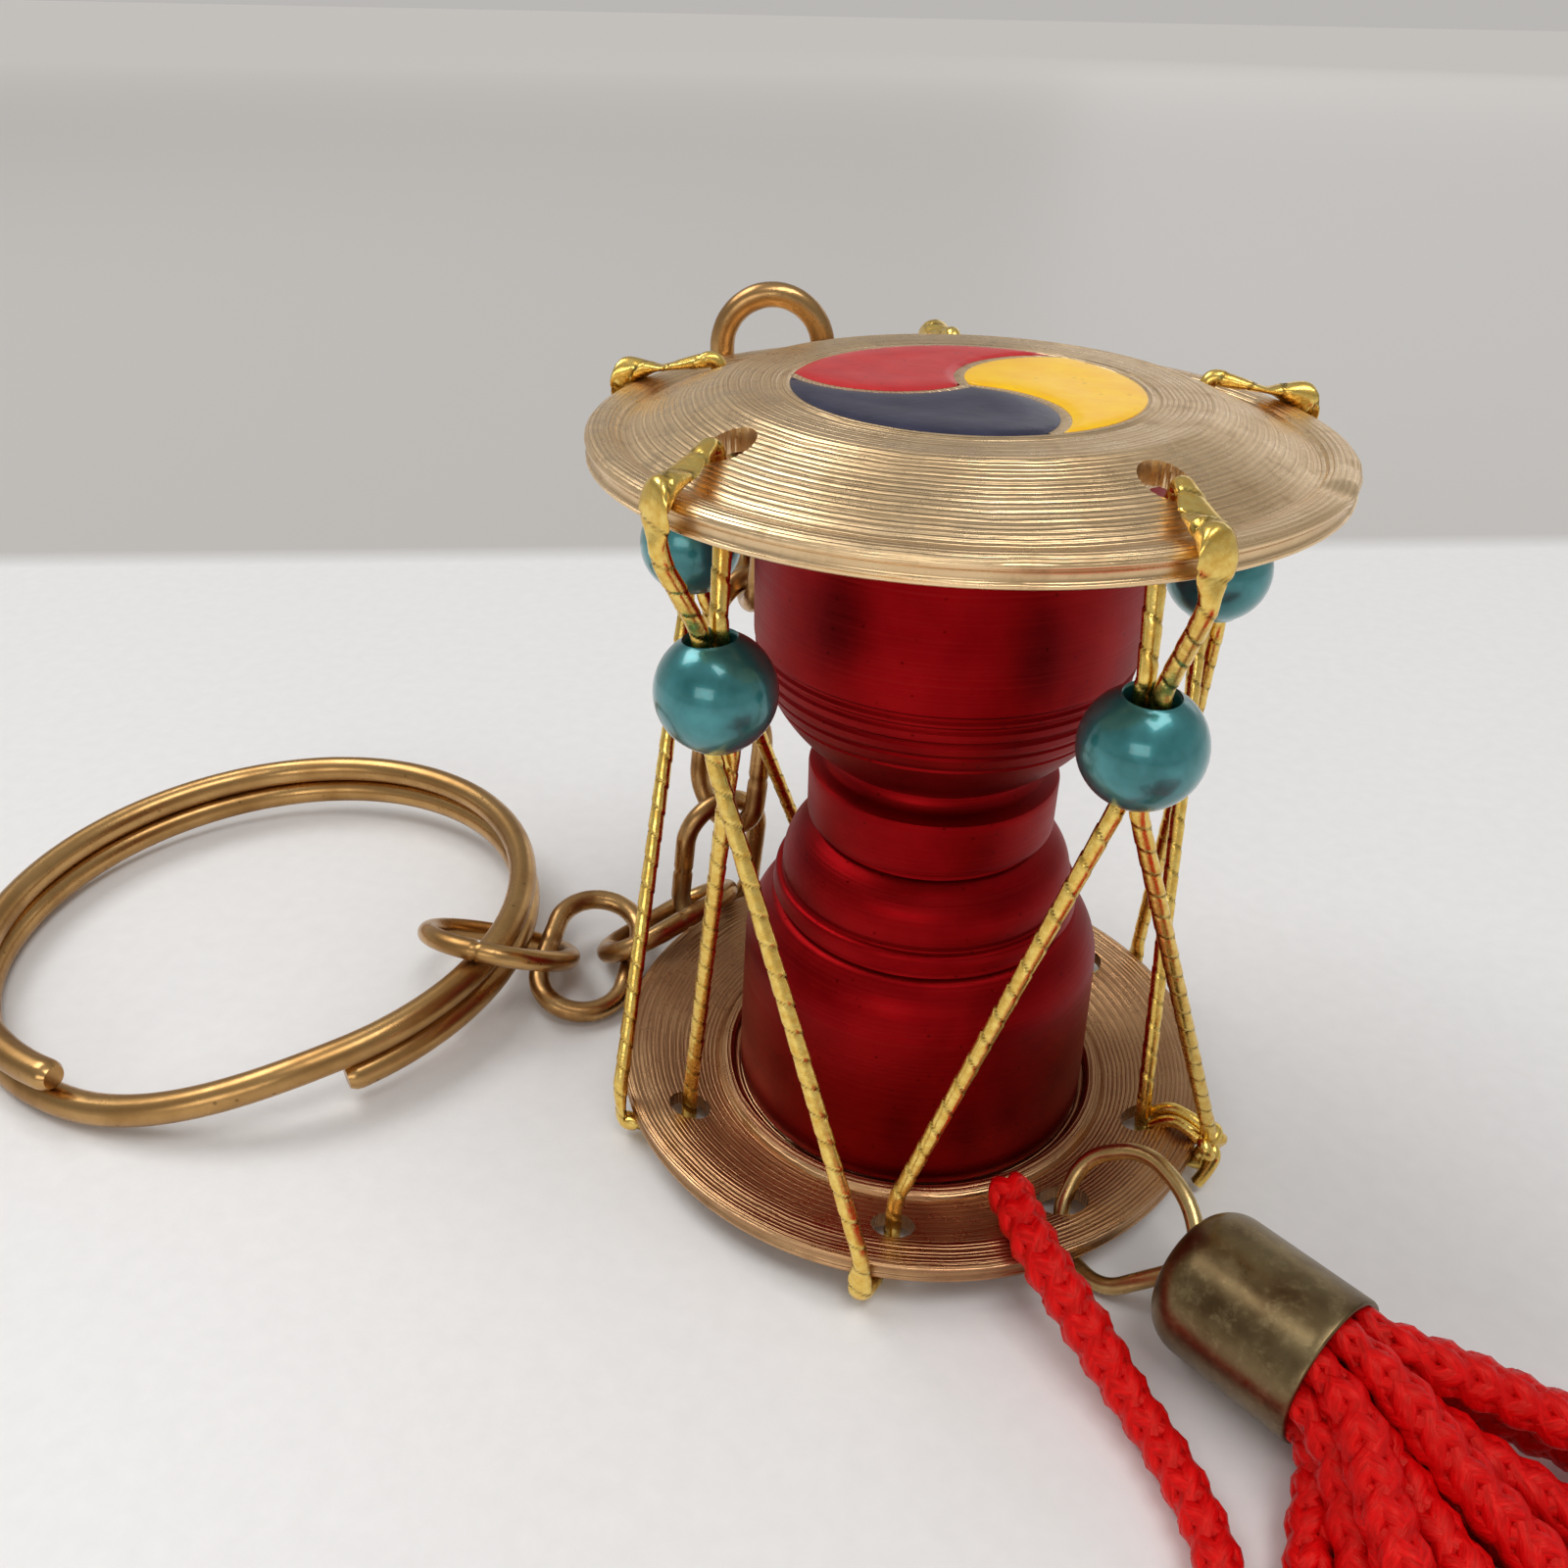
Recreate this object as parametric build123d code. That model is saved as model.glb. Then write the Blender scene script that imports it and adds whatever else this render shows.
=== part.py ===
from build123d import *
import math
import os

os.makedirs("parts", exist_ok=True)

# An hourglass drum trinket on a key chain, in millimetres.
# The origin is the middle of the bottom head's flat face, on the surface it stands on.

# ---- driving dimensions: the two heads -------------------------------------
HEIGHT = 35.86          # flat face of the bottom head to flat face of the top head
RIM_R = 15.0            # outside of a head's rolled rim
BOSS_R = 9.5            # flat face that carries the enamel
CREST_R = 13.0          # outer end of the sloping flank
GROOVE_R = 13.55        # shallow groove inside the raised lip
HEAD_T = 0.9            # thickness of the boss
FLANK_SLOPE = math.tan(math.radians(21.5))   # fall of the flank, boss to crest
RIM_LOW = 1.65          # flat face to the rim's nearer edge
RIM_HIGH = 2.45         # flat face to the rim's farther edge
FOOT_RING_R = 9.9       # raised ring round the body's foot, on the inner face
FOOT_RING_H = 0.45

# ---- driving dimensions: the enamel swirl ----------------------------------
ENAMEL_R = 6.95         # outer edge of the three enamel fields
ENAMEL_DEPTH = 0.3      # depth of their pockets
WALL_T = 0.42           # brass wall between two fields
SWIRL_BOW = 0.34        # bow of a wall, as a share of the enamel radius
SWIRL_TURN = 49.0       # bearing where the red field's wall meets the rim
COLOURS = ("red", "blue", "yellow")

# ---- driving dimensions: the turned body -----------------------------------
BASE_R = 8.9            # foot of the body
BOWL_R = 8.3            # plain cylinder under the top head
WAIST_R = 4.7           # narrowest neck
COLLAR_R = 5.75         # plain collar between foot and bowl

# ---- driving dimensions: the lacing ----------------------------------------
CORD_R = 0.36           # gold lacing cord
LACE_HOLE_R = 1.0       # holes that it passes through
TOP_HOLE_R = 11.1       # their distance from the axis in the top head
LOW_HOLE_R = 12.3       # and in the bottom head
BEAD_R = 2.35           # glass tuning bead
BEAD_BORE_R = 0.95
BEAD_GAP = 0.46         # each strand runs this far to one side of the bead's axis
BEAD_RUN = 2.6          # and straight for this far each way from its centre
STATIONS = 5            # beads, and holes in each head
TOP_BEARINGS = (-137.0, -52.0, 30.0, 94.0, 157.0)      # holes in the top head
OVER_BEARINGS = (-129.0, -59.0, 22.0, 97.0, 165.0)     # where the cord crosses the top rim
LOW_BEARINGS = (-148.0, -90.0, -18.0, 40.0, 119.0)     # holes in the bottom head
UNDER_BEARINGS = (-153.0, -94.5, -21.0, 36.0, 116.0)   # where it crosses the bottom rim
BEAD_HEIGHTS = (26.7, 26.1, 27.1, 27.0, 27.2)
KNOT_R = 0.9            # the knot that ties its two ends, outside the bottom rim

# ---- driving dimensions: the chain -----------------------------------------
LINK_WIRE_R = 0.575
LINK_LENGTH = 8.3       # between the wire's centres, along a link
LINK_WIDTH = 4.8        # and across it
CHAIN_TOP = (-9.34, 10.92, 32.8)       # centre of the link that hangs in the top head
CHAIN_LOW = (-12.2, 10.8, 4.78)        # centre of the last hanging link
HANGING_TURNS = (188.0, 108.0, 50.0, -38.0, 40.0)      # bearing of each hanging link's width
CHAIN_HOLE_R = 1.1
CHAIN_HOLE_AT = (12.9, 122.5)          # distance and bearing of its hole in the top head
JUMP_R = 4.0            # round ring that joins the chain to the split ring
SPLIT_R = 15.0          # split key ring, to the wire's centre
SPLIT_WIRE_R = 0.8
SPLIT_STEP = 0.83       # half the distance between its two coils
SPLIT_OPEN = (258.0, 313.0)            # the wire steps from coil to coil between these

# ---- driving dimensions: the tassel ----------------------------------------
LOOP_WIRE_R = 0.375
LOOP_AT = (7.4, -9.8, 1.4)             # where the loop passes its hole in the bottom head
LOOP_ALONG = (0.772, -0.586, 0.246)
LOOP_ACROSS = (0.231, 0.619, 0.751)
LOOP_HOLE_AT = (12.3, -52.0)
LOOP_HOLE_R = 1.15
LOOP_SHAPE = (
    (0.1, 0.0), (0.5, 2.7), (3.3, 4.1), (5.9, 2.7), (7.1, 0.4), (5.3, -0.9), (3.2, -2.4), (1.05, -1.72),
)
CAP_TIP = (12.35, -13.45, 3.16)        # middle of the cap's closed end
CAP_BEARING = -43.5
CAP_RISE = 3.0
CAP_R = 3.22
CAP_LENGTH = 6.9
CAP_WALL = 0.3
CAP_ROUND = 1.6
CAP_EYE_R = 1.6         # hole in the closed end, for the loop
CAP_EYE_AT = (0.38, 0.46)              # its centre, to the side and up from the cap's axis
BUNDLE_START = 2.2      # the folded cords are bound from this far inside the closed end
BUNDLE_END = 1.4        # to this far inside the mouth
STRAND_R = 0.7          # a tassel cord, squeezed by the cap
FAN_ROOT = 3.2          # the strands fan out from this far inside the mouth
MOUTH_RUN = 1.3         # and leave it straight for this far

# Each strand: its slot in the mouth (distance, angle), then (reach, bearing, height) points.
STRANDS = (
    (2.15, 170, ((8.8, -75, 2.0), (14, -77, 1.0), (23, -77, 0.95), (32, -74, 0.95), (39.5, -71, 0.95))),
    (2.15, 250, ((8.4, -66, 0.95), (14, -65, 1.0), (22, -63, 0.95), (31, -64, 1.0), (39.5, -62, 0.95))),
    (0.82, 270, ((8.4, -53, 1.5), (14, -52, 0.95), (23, -53, 1.0), (32, -51, 0.95), (40, -52, 0.95))),
    (2.15, 290, ((8.2, -40, 0.95), (14, -39, 1.0), (22, -40, 0.95), (31, -39.5, 0.95), (39.5, -41, 1.0))),
    (2.15, 330, ((8.4, -26, 0.95), (14, -25, 1.0), (22, -27, 0.95), (31, -29, 0.95), (39.5, -30, 1.0))),
    (2.15, 10, ((8.6, -11, 2.0), (14, -12, 1.0), (22, -15, 0.95), (31, -18, 0.95), (39.5, -22, 0.95))),
    (2.15, 130, ((8.6, -72, 3.9), (14, -72, 2.6), (23, -70, 1.8), (32, -68.5, 0.95), (39, -67, 0.95))),
    (0.82, 150, ((8.4, -59, 3.0), (14, -59, 2.6), (22, -58, 2.0), (31, -58, 0.95), (39, -57, 0.95))),
    (2.15, 90, ((8.6, -46, 3.8), (14, -46, 2.7), (22, -47, 2.0), (31, -46, 0.95), (38.5, -47, 1.0))),
    (0.82, 30, ((8.4, -33, 2.9), (14, -32, 2.6), (23, -33, 1.7), (32, -34.5, 0.95), (39, -35.5, 0.95))),
    (2.15, 50, ((8.6, -16, 4.1), (14, -17, 3.1), (22, -20, 2.1), (31, -23.5, 0.95), (39, -26, 0.95))),
)
LOOSE_SLOT = (2.15, 210)
LOOSE_ROUTE = (
    (15.95, -23.2, 1.2), (15.4, -26.8, 1.0), (15.7, -30.8, 1.0), (16.2, -34.8, 1.0), (14.6, -38.6, 1.05),
    (11.0, -40.2, 1.0), (7.9, -38.2, 1.05), (8.3, -34.6, 1.0), (10.8, -31.6, 1.05), (12.7, -28.3, 1.05),
    (12.7, -24.6, 1.05), (11.4, -21.2, 1.05), (9.8, -18.7, 1.3), (7.9, -16.3, 2.6), (5.9, -13.6, 3.45),
    (5.0, -10.4, 3.0),
)


def polar(radius, bearing, z):
    """A point at a distance and bearing from the drum's axis."""
    angle = math.radians(bearing)
    return Vector(radius * math.cos(angle), radius * math.sin(angle), z)


def write(node, solid):
    """Writes one node's STEP file."""
    solid.label = node
    export_step(solid, f"parts/{node}.step")


def tube(points, radii, radius, closed=False):
    """A round tube along straight runs joined by tangent arcs."""
    path = FilletPolyline(*points, radius=radii, close=closed)
    section = Plane(path @ 0, z_dir=path % 0) * Circle(radius)
    return sweep(section, path=path)


def corner_radii(points, share=0.45, closed=False):
    """The largest arc that each corner's two runs leave room for."""
    radii = []
    count = len(points)
    corners = range(count) if closed else range(1, count - 1)
    for i in corners:
        before = points[i] - points[i - 1]
        after = points[(i + 1) % count] - points[i]
        half_turn = math.radians(before.get_angle(after)) / 2
        radii.append(share * min(before.length, after.length) / math.tan(half_turn))
    return radii


# ---- heads -----------------------------------------------------------------

def head_blank():
    """A spun brass head, flat face down at z = 0."""
    outer = Polyline((0, 0), (BOSS_R, 0))
    flank = ThreePointArc((BOSS_R, 0), (11.6, 0.72), (CREST_R, 1.42))
    groove = Polyline((CREST_R, 1.42), (GROOVE_R, 1.62), (13.8, 1.5), (14.2, 1.42))
    lip = ThreePointArc((14.2, 1.42), (14.75, 1.42), (RIM_R, RIM_LOW))
    edge_low = ThreePointArc((RIM_R, RIM_LOW), (14.86, 1.85), (14.86, 2.05))
    edge_high = ThreePointArc((14.86, 2.05), (14.86, 2.25), (RIM_R, RIM_HIGH))
    back = Polyline((RIM_R, RIM_HIGH), (13.9, RIM_HIGH), (12.9, 2.1), (FOOT_RING_R + 0.1, HEAD_T + 0.15),
                    (FOOT_RING_R, HEAD_T + FOOT_RING_H), (BASE_R + 0.3, HEAD_T + FOOT_RING_H),
                    (BASE_R + 0.2, HEAD_T), (0, HEAD_T), (0, 0))
    outline = Plane.XZ * make_face([outer, flank, groove, lip, edge_low, edge_high, back])
    return revolve(outline, axis=Axis.Z)


def wall_bow(bearing):
    """The middle line of one brass wall, from the centre to the rim, as three points."""
    angle = math.radians(bearing)
    end = Vector(math.cos(angle), math.sin(angle)) * (ENAMEL_R + 0.6)
    side = Vector(-math.sin(angle), math.cos(angle)) * (SWIRL_BOW * ENAMEL_R)
    return Vector(0, 0), end * 0.5 + side, end


def wall_band(bearing):
    """One bowed brass wall of even thickness."""
    start, middle, end = wall_bow(bearing)
    arc = ThreePointArc(start, middle, end)
    centre = arc.arc_center
    radius = arc.radius
    inner = [centre + (p - centre) * ((radius - WALL_T / 2) / radius) for p in (start, middle, end)]
    outer = [centre + (p - centre) * ((radius + WALL_T / 2) / radius) for p in (start, middle, end)]
    ends = [Line(inner[2], outer[2]), Line(outer[0], inner[0])]
    return make_face([ThreePointArc(*inner), ThreePointArc(*outer), *ends])


def enamel_field(bearing):
    """One comma-shaped field, between the wall at this bearing and the next one."""
    first = ThreePointArc(*wall_bow(bearing))
    second = ThreePointArc(*wall_bow(bearing + 120))
    half = math.radians(bearing + 60)
    reach = ENAMEL_R + 0.6
    rim = ThreePointArc(first @ 1, Vector(math.cos(half), math.sin(half)) * reach, second @ 1)
    sector = make_face([first, rim, second])
    field = sector & Circle(ENAMEL_R)
    field = field - wall_band(bearing) - wall_band(bearing + 120) - Circle(WALL_T)
    return max(field.faces(), key=lambda face: face.area)


def enamel_solids():
    """The three enamel fills of one head, flush with the flat face at z = 0.

    The fields are drawn as seen from outside the face, so they are mirrored for a face that looks down.
    """
    fills = {}
    for i, colour in enumerate(COLOURS):
        face = enamel_field(SWIRL_TURN + 120 * i)
        fills[colour] = mirror(extrude(face, amount=ENAMEL_DEPTH), about=Plane.XZ)
    return fills


def upright(z_low, z_high, radius, at):
    """A drill of one radius, from z_low to z_high."""
    drill = Cylinder(radius, z_high - z_low, align=(Align.CENTER, Align.CENTER, Align.MIN))
    return Pos(at.X, at.Y, z_low) * drill


FLIP = Plane((0, 0, HEIGHT), x_dir=(1, 0, 0), z_dir=(0, 0, -1)).location


def make_heads():
    """Both heads and their enamel; the top head is the bottom one turned over."""
    fills = enamel_solids()
    plain = head_blank()
    for fill in fills.values():
        plain -= fill
    bottom = plain
    top = FLIP * plain
    for bearing in LOW_BEARINGS:
        bottom -= upright(-1, 4, LACE_HOLE_R, polar(LOW_HOLE_R, bearing, 0))
    bottom -= upright(-1, 4, LOOP_HOLE_R, polar(*LOOP_HOLE_AT, 0))
    for bearing in TOP_BEARINGS:
        top -= upright(HEIGHT - 4, HEIGHT + 1, LACE_HOLE_R, polar(TOP_HOLE_R, bearing, 0))
    top -= upright(HEIGHT - 4, HEIGHT + 1, CHAIN_HOLE_R, polar(*CHAIN_HOLE_AT, 0))
    write("bottom_head", bottom)
    write("top_head", top)
    for colour, fill in fills.items():
        write(f"bottom_enamel_{colour}", fill)
        write(f"top_enamel_{colour}", FLIP * fill)


# ---- body ------------------------------------------------------------------

def make_body():
    """The solid turned hourglass between the heads."""
    top = HEIGHT - HEAD_T
    outline = [
        Line((0, HEAD_T), (BASE_R, HEAD_T)),
        Line((BASE_R, HEAD_T), (BASE_R - 0.3, 9.3)),
        ThreePointArc((BASE_R - 0.3, 9.3), (8.2, 10.6), (7.35, 11.6)),
        Polyline((7.35, 11.6), (6.95, 11.8), (6.95, 12.1), (7.3, 12.2)),
        Polyline((7.3, 12.2), (7.2, 13.0), (6.85, 13.1), (6.85, 13.4)),
        ThreePointArc((6.85, 13.4), (6.35, 14.7), (5.5, 15.8)),
        Polyline((5.5, 15.8), (5.3, 15.9), (5.3, 16.2), (COLLAR_R, 16.3), (COLLAR_R, 18.9), (5.4, 19.0)),
        ThreePointArc((5.4, 19.0), (4.85, 19.3), (WAIST_R, 19.75)),
        Polyline((WAIST_R, 19.75), (5.2, 20.0)),
        ThreePointArc((5.2, 20.0), (7.05, 22.5), (BOWL_R, 25.6)),
        Polyline((BOWL_R, 25.6), (BOWL_R, top), (0, top), (0, HEAD_T)),
    ]
    body = revolve(Plane.XZ * make_face(outline), axis=Axis.Z)
    for z in (22.6, 23.4, 24.2, 24.9):
        radius = BOWL_R - 0.065 * (25.6 - z) ** 1.75
        body -= Pos(0, 0, z) * Torus(radius + 0.05, 0.11)
    write("drum_body", body)


# ---- lacing ----------------------------------------------------------------

def bead_centre(k):
    """A bead sits where the two pairs of strands draw together."""
    after = (k + 1) % STATIONS
    top_inner = polar(TOP_HOLE_R, TOP_BEARINGS[k], HEIGHT - 2)
    top_outer = polar(RIM_R + CORD_R, OVER_BEARINGS[k], HEIGHT - 2.5)
    low_inner = polar(LOW_HOLE_R, LOW_BEARINGS[k], 2)
    low_outer = polar(RIM_R + CORD_R, UNDER_BEARINGS[after], 2.5)
    top = (top_inner + top_outer) / 2
    low = (low_inner + low_outer) / 2
    share = (BEAD_HEIGHTS[k] - low.Z) / (top.Z - low.Z)
    return low + (top - low) * share, (top - low).normalized()


def bead_side(k):
    """The direction in which the two strands stand side by side in a bead."""
    centre, along = bead_centre(k)
    outward = polar(1, math.degrees(math.atan2(centre.Y, centre.X)), 0)
    return (outward - along * outward.dot(along)).normalized()


def lacing_points():
    """The lacing's whole route: hole, bead, hole, over the rim, bead, under the rim, five times."""
    points = []
    for i in range(STATIONS):
        k = (i + 2) % STATIONS
        after = (k + 1) % STATIONS
        centre, along = bead_centre(k)
        side = bead_side(k)
        rise = (LOW_HOLE_R - BOSS_R) * FLANK_SLOPE
        fall = HEIGHT - (TOP_HOLE_R - BOSS_R) * FLANK_SLOPE
        points.append(polar(LOW_HOLE_R + 0.15, LOW_BEARINGS[k], rise - 0.62))
        points.append(polar(LOW_HOLE_R - 0.1, LOW_BEARINGS[k], 3.4))
        points.append(centre - side * BEAD_GAP - along * BEAD_RUN)
        points.append(centre - side * BEAD_GAP + along * BEAD_RUN)
        points.append(polar(TOP_HOLE_R + 0.2, TOP_BEARINGS[k], fall - 2.0))
        points.append(polar(TOP_HOLE_R + 0.65, TOP_BEARINGS[k], fall + 0.15))
        points.append(polar(RIM_R + 0.68, OVER_BEARINGS[k], HEIGHT - 1.3))
        points.append(polar(RIM_R + 0.45, OVER_BEARINGS[k] + 0.4, HEIGHT - 3.4))
        points.append(centre + side * BEAD_GAP + along * BEAD_RUN)
        points.append(centre + side * BEAD_GAP - along * BEAD_RUN)
        points.append(polar(RIM_R + 0.45, UNDER_BEARINGS[after], 3.2))
        points.append(polar(RIM_R + 0.55, UNDER_BEARINGS[after] + 0.2, 1.0))
    return points


def make_lacing():
    """The cord, its knot and the five beads."""
    points = lacing_points()
    first = polar(RIM_R + 0.5, UNDER_BEARINGS[2] + 0.3, 1.2)
    points.insert(0, first)
    radii = [min(r, 2.0) for r in corner_radii(points)]
    write("lacing_cord", tube(points, radii, CORD_R))
    knot_at = polar(RIM_R + KNOT_R + 0.05, UNDER_BEARINGS[2] + 1, 1.7)
    knot = Pos(knot_at.X, knot_at.Y, knot_at.Z) * Sphere(KNOT_R)
    write("lacing_knot", knot)
    for k in range(STATIONS):
        centre, along = bead_centre(k)
        bead = Sphere(BEAD_R) - Cylinder(BEAD_BORE_R, 3 * BEAD_R)
        write(f"tuning_bead_{k + 1}", Plane(centre, z_dir=along).location * bead)


# ---- chain -----------------------------------------------------------------

def oval_link(plane):
    """One oval chain link, long along the plane's y."""
    end_r = LINK_WIDTH / 2
    half = (LINK_LENGTH - LINK_WIDTH) / 2
    ring = [
        Line((end_r, -half), (end_r, half)),
        ThreePointArc((end_r, half), (0, half + end_r), (-end_r, half)),
        Line((-end_r, half), (-end_r, -half)),
        ThreePointArc((-end_r, -half), (0, -half - end_r), (end_r, -half)),
    ]
    path = Wire(ring)
    section = Plane((end_r, -half, 0), z_dir=(0, 1, 0)) * Circle(LINK_WIRE_R)
    return plane.location * sweep(section, path=path)


def hanging_plane(i):
    """The plane of the i-th hanging link: y along the chain, x at its bearing."""
    top = Vector(*CHAIN_TOP)
    low = Vector(*CHAIN_LOW)
    along = (top - low).normalized() if i else Vector(0, 0, 1)
    width = polar(1, HANGING_TURNS[i], 0)
    width = (width - along * width.dot(along)).normalized()
    centre = top + (low - top) * (i / (len(HANGING_TURNS) - 1))
    return Plane(centre, x_dir=width, z_dir=width.cross(along))


def lying_plane(centre, width, along):
    """The plane of a ring that lies on the floor or on its neighbour."""
    x = Vector(*width).normalized()
    return Plane(centre, x_dir=x, z_dir=x.cross(Vector(*along)))


LINK_SIX = lying_plane((-14.67, 7.69, 2.24), (0.603, -0.575, 0.553), (-0.644, -0.76, -0.089))
LINK_SEVEN = lying_plane((-18.56, 4.54, 1.69), (0.983, 0.023, -0.181), (0.013, 0.981, 0.193))
JUMP_PLANE = lying_plane((-23.36, 3.18, 2.81), (0.989, 0.015, -0.149), (-0.092, 0.846, -0.525))
SPLIT_PLANE = lying_plane((-38.0, 4.24, 2.33), (0.999, -0.031, 0.032), (0.03, 0.999, 0.029))


def split_ring():
    """Two coils of one wire, with a short step from the lower coil to the upper one."""
    step_start, step_end = SPLIT_OPEN
    lower = CenterArc((0, 0, -SPLIT_STEP), SPLIT_R, step_end - 360, step_start - step_end + 360)
    upper = CenterArc((0, 0, SPLIT_STEP), SPLIT_R, step_end, step_start - step_end + 360)
    middle = polar(SPLIT_R, (step_start + step_end) / 2, 0)
    step = Spline(lower @ 1, middle, upper @ 0, tangents=(lower % 1, upper % 0))
    path = Wire([lower, step, upper])
    section = Plane(path @ 0, z_dir=path % 0) * Circle(SPLIT_WIRE_R)
    return sweep(section, path=path)


def make_chain():
    """Seven oval links, the jump ring and the split ring."""
    planes = [hanging_plane(i) for i in range(len(HANGING_TURNS))] + [LINK_SIX, LINK_SEVEN]
    for i, plane in enumerate(planes):
        write(f"chain_link_{i + 1}", oval_link(plane))
    write("jump_ring", JUMP_PLANE.location * Torus(JUMP_R, LINK_WIRE_R))
    write("split_ring", SPLIT_PLANE.location * split_ring())


# ---- tassel ----------------------------------------------------------------

CAP_AXIS = polar(math.cos(math.radians(CAP_RISE)), CAP_BEARING, math.sin(math.radians(CAP_RISE)))
CAP_SIDE = polar(1, CAP_BEARING + 90, 0)
CAP_UP = CAP_AXIS.cross(CAP_SIDE)
CAP_PLANE = Plane(CAP_TIP, x_dir=CAP_SIDE, z_dir=CAP_AXIS)
MOUTH = Vector(*CAP_TIP) + CAP_AXIS * CAP_LENGTH


def make_loop():
    """The wire loop that carries the tassel."""
    along = Vector(*LOOP_ALONG)
    across = Vector(*LOOP_ACROSS)
    points = [Vector(*LOOP_AT) + along * s + across * t for s, t in LOOP_SHAPE]
    radii = corner_radii(points, closed=True)
    write("tassel_loop", tube(points, radii, LOOP_WIRE_R, closed=True))


def make_cap():
    """The cap and the bound heads of the cords inside it."""
    outside = Cylinder(CAP_R, CAP_LENGTH, align=(Align.CENTER, Align.CENTER, Align.MIN))
    outside = fillet(outside.edges().sort_by(Axis.Z)[0], CAP_ROUND)
    depth = CAP_LENGTH - CAP_WALL
    inside = Cylinder(CAP_R - CAP_WALL, depth, align=(Align.CENTER, Align.CENTER, Align.MIN))
    inside = fillet(inside.edges().sort_by(Axis.Z)[0], CAP_ROUND - CAP_WALL)
    eye = Pos(*CAP_EYE_AT, 0) * Cylinder(CAP_EYE_R, 3)
    cap = outside - Pos(0, 0, CAP_WALL) * inside - eye
    write("tassel_cap", CAP_PLANE.location * cap)
    bundle_length = CAP_LENGTH - BUNDLE_END - BUNDLE_START
    bundle = Cylinder(CAP_R - CAP_WALL, bundle_length, align=(Align.CENTER, Align.CENTER, Align.MIN))
    write("tassel_bundle", CAP_PLANE.location * (Pos(0, 0, BUNDLE_START) * bundle))


def mouth_slot(distance, angle):
    """Where a strand sits in the mouth: two points, inside and just outside."""
    turn = math.radians(angle)
    offset = CAP_SIDE * (distance * math.cos(turn)) + CAP_UP * (distance * math.sin(turn))
    return [MOUTH + offset - CAP_AXIS * BUNDLE_END, MOUTH + offset + CAP_AXIS * MOUTH_RUN]


def strand_points(distance, angle, reaches):
    """A strand's route: out of its slot, down and away across the floor."""
    root = MOUTH - CAP_AXIS * FAN_ROOT
    points = mouth_slot(distance, angle)
    for reach, bearing, z in reaches:
        step = polar(reach, bearing, 0)
        points.append(Vector(root.X + step.X, root.Y + step.Y, z))
    return points


def make_strand(node, points):
    """One cord of the tassel, and its length and bends in the log."""
    radii = corner_radii(points)
    strand = tube(points, radii, STRAND_R)
    length = strand.volume / (math.pi * STRAND_R ** 2)
    print(f"{node}: length {length:.1f} mm, arcs {min(radii):.1f} to {max(radii):.1f} mm")
    write(node, strand)


def make_tassel():
    """The loop, the cap, eleven strands and the loose one."""
    make_loop()
    make_cap()
    for i, (distance, angle, reaches) in enumerate(STRANDS):
        make_strand(f"tassel_strand_{i + 1:02d}", strand_points(distance, angle, reaches))
    loose = mouth_slot(*LOOSE_SLOT) + [Vector(*point) for point in LOOSE_ROUTE]
    make_strand("loose_strand", loose)


make_heads()
make_body()
make_lacing()
make_chain()
make_tassel()
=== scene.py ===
import math

import bmesh
import bpy
import numpy as np
from mathutils import Matrix, Vector, geometry


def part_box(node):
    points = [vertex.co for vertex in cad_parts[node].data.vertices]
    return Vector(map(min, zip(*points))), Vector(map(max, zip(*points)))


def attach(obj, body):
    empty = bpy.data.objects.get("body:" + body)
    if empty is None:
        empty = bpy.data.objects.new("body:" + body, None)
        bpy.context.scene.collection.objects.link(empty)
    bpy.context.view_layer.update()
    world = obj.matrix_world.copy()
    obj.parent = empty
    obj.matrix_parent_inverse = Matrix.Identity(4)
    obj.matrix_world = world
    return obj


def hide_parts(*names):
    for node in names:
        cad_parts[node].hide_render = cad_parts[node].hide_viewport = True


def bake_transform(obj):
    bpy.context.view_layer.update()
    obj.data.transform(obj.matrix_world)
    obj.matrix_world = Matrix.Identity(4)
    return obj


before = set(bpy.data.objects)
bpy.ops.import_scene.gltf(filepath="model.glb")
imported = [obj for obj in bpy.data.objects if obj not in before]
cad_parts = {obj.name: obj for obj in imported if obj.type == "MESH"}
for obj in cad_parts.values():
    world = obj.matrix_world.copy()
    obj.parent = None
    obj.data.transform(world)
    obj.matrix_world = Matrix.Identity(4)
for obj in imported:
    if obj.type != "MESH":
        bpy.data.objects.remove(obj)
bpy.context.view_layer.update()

MM = 0.001
FOOT_GAP = 0.00002
FLOOR_SIZE = 20.0
FLOOR_EDGE = (-0.219, 0.9757)
FLOOR_EDGE_AT = (0.0745, 0.0790)
ROOM_CENTRE = (0.0, 0.0, 0.015)
ROOM_STRENGTH = 0.70
ROOM_TONES = (
    (0.0, (0.70, 0.68, 0.66)), (0.14, (0.70, 0.68, 0.66)), (0.32, (0.40, 0.39, 0.38)),
    (0.55, (0.48, 0.47, 0.46)), (1.0, (0.66, 0.66, 0.67)),
)

# Each lamp's name, place, size, power and colour.
LAMPS = (
    ("window", (-0.28, 0.10, 0.42), (0.30, 0.22), 0.90, (1.0, 1.0, 1.0)),
    ("ceiling", (0.14, -0.12, 0.50), (0.34, 0.20), 0.84, (1.0, 1.0, 1.0)),
    ("front_fill", (-0.10, -0.46, 0.20), (0.30, 0.16), 0.32, (1.0, 0.98, 0.95)),
    ("back_panel", (0.68, 1.52, 0.42), (1.30, 0.53), 1.15, (1.0, 1.0, 1.0)),
)

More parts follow.
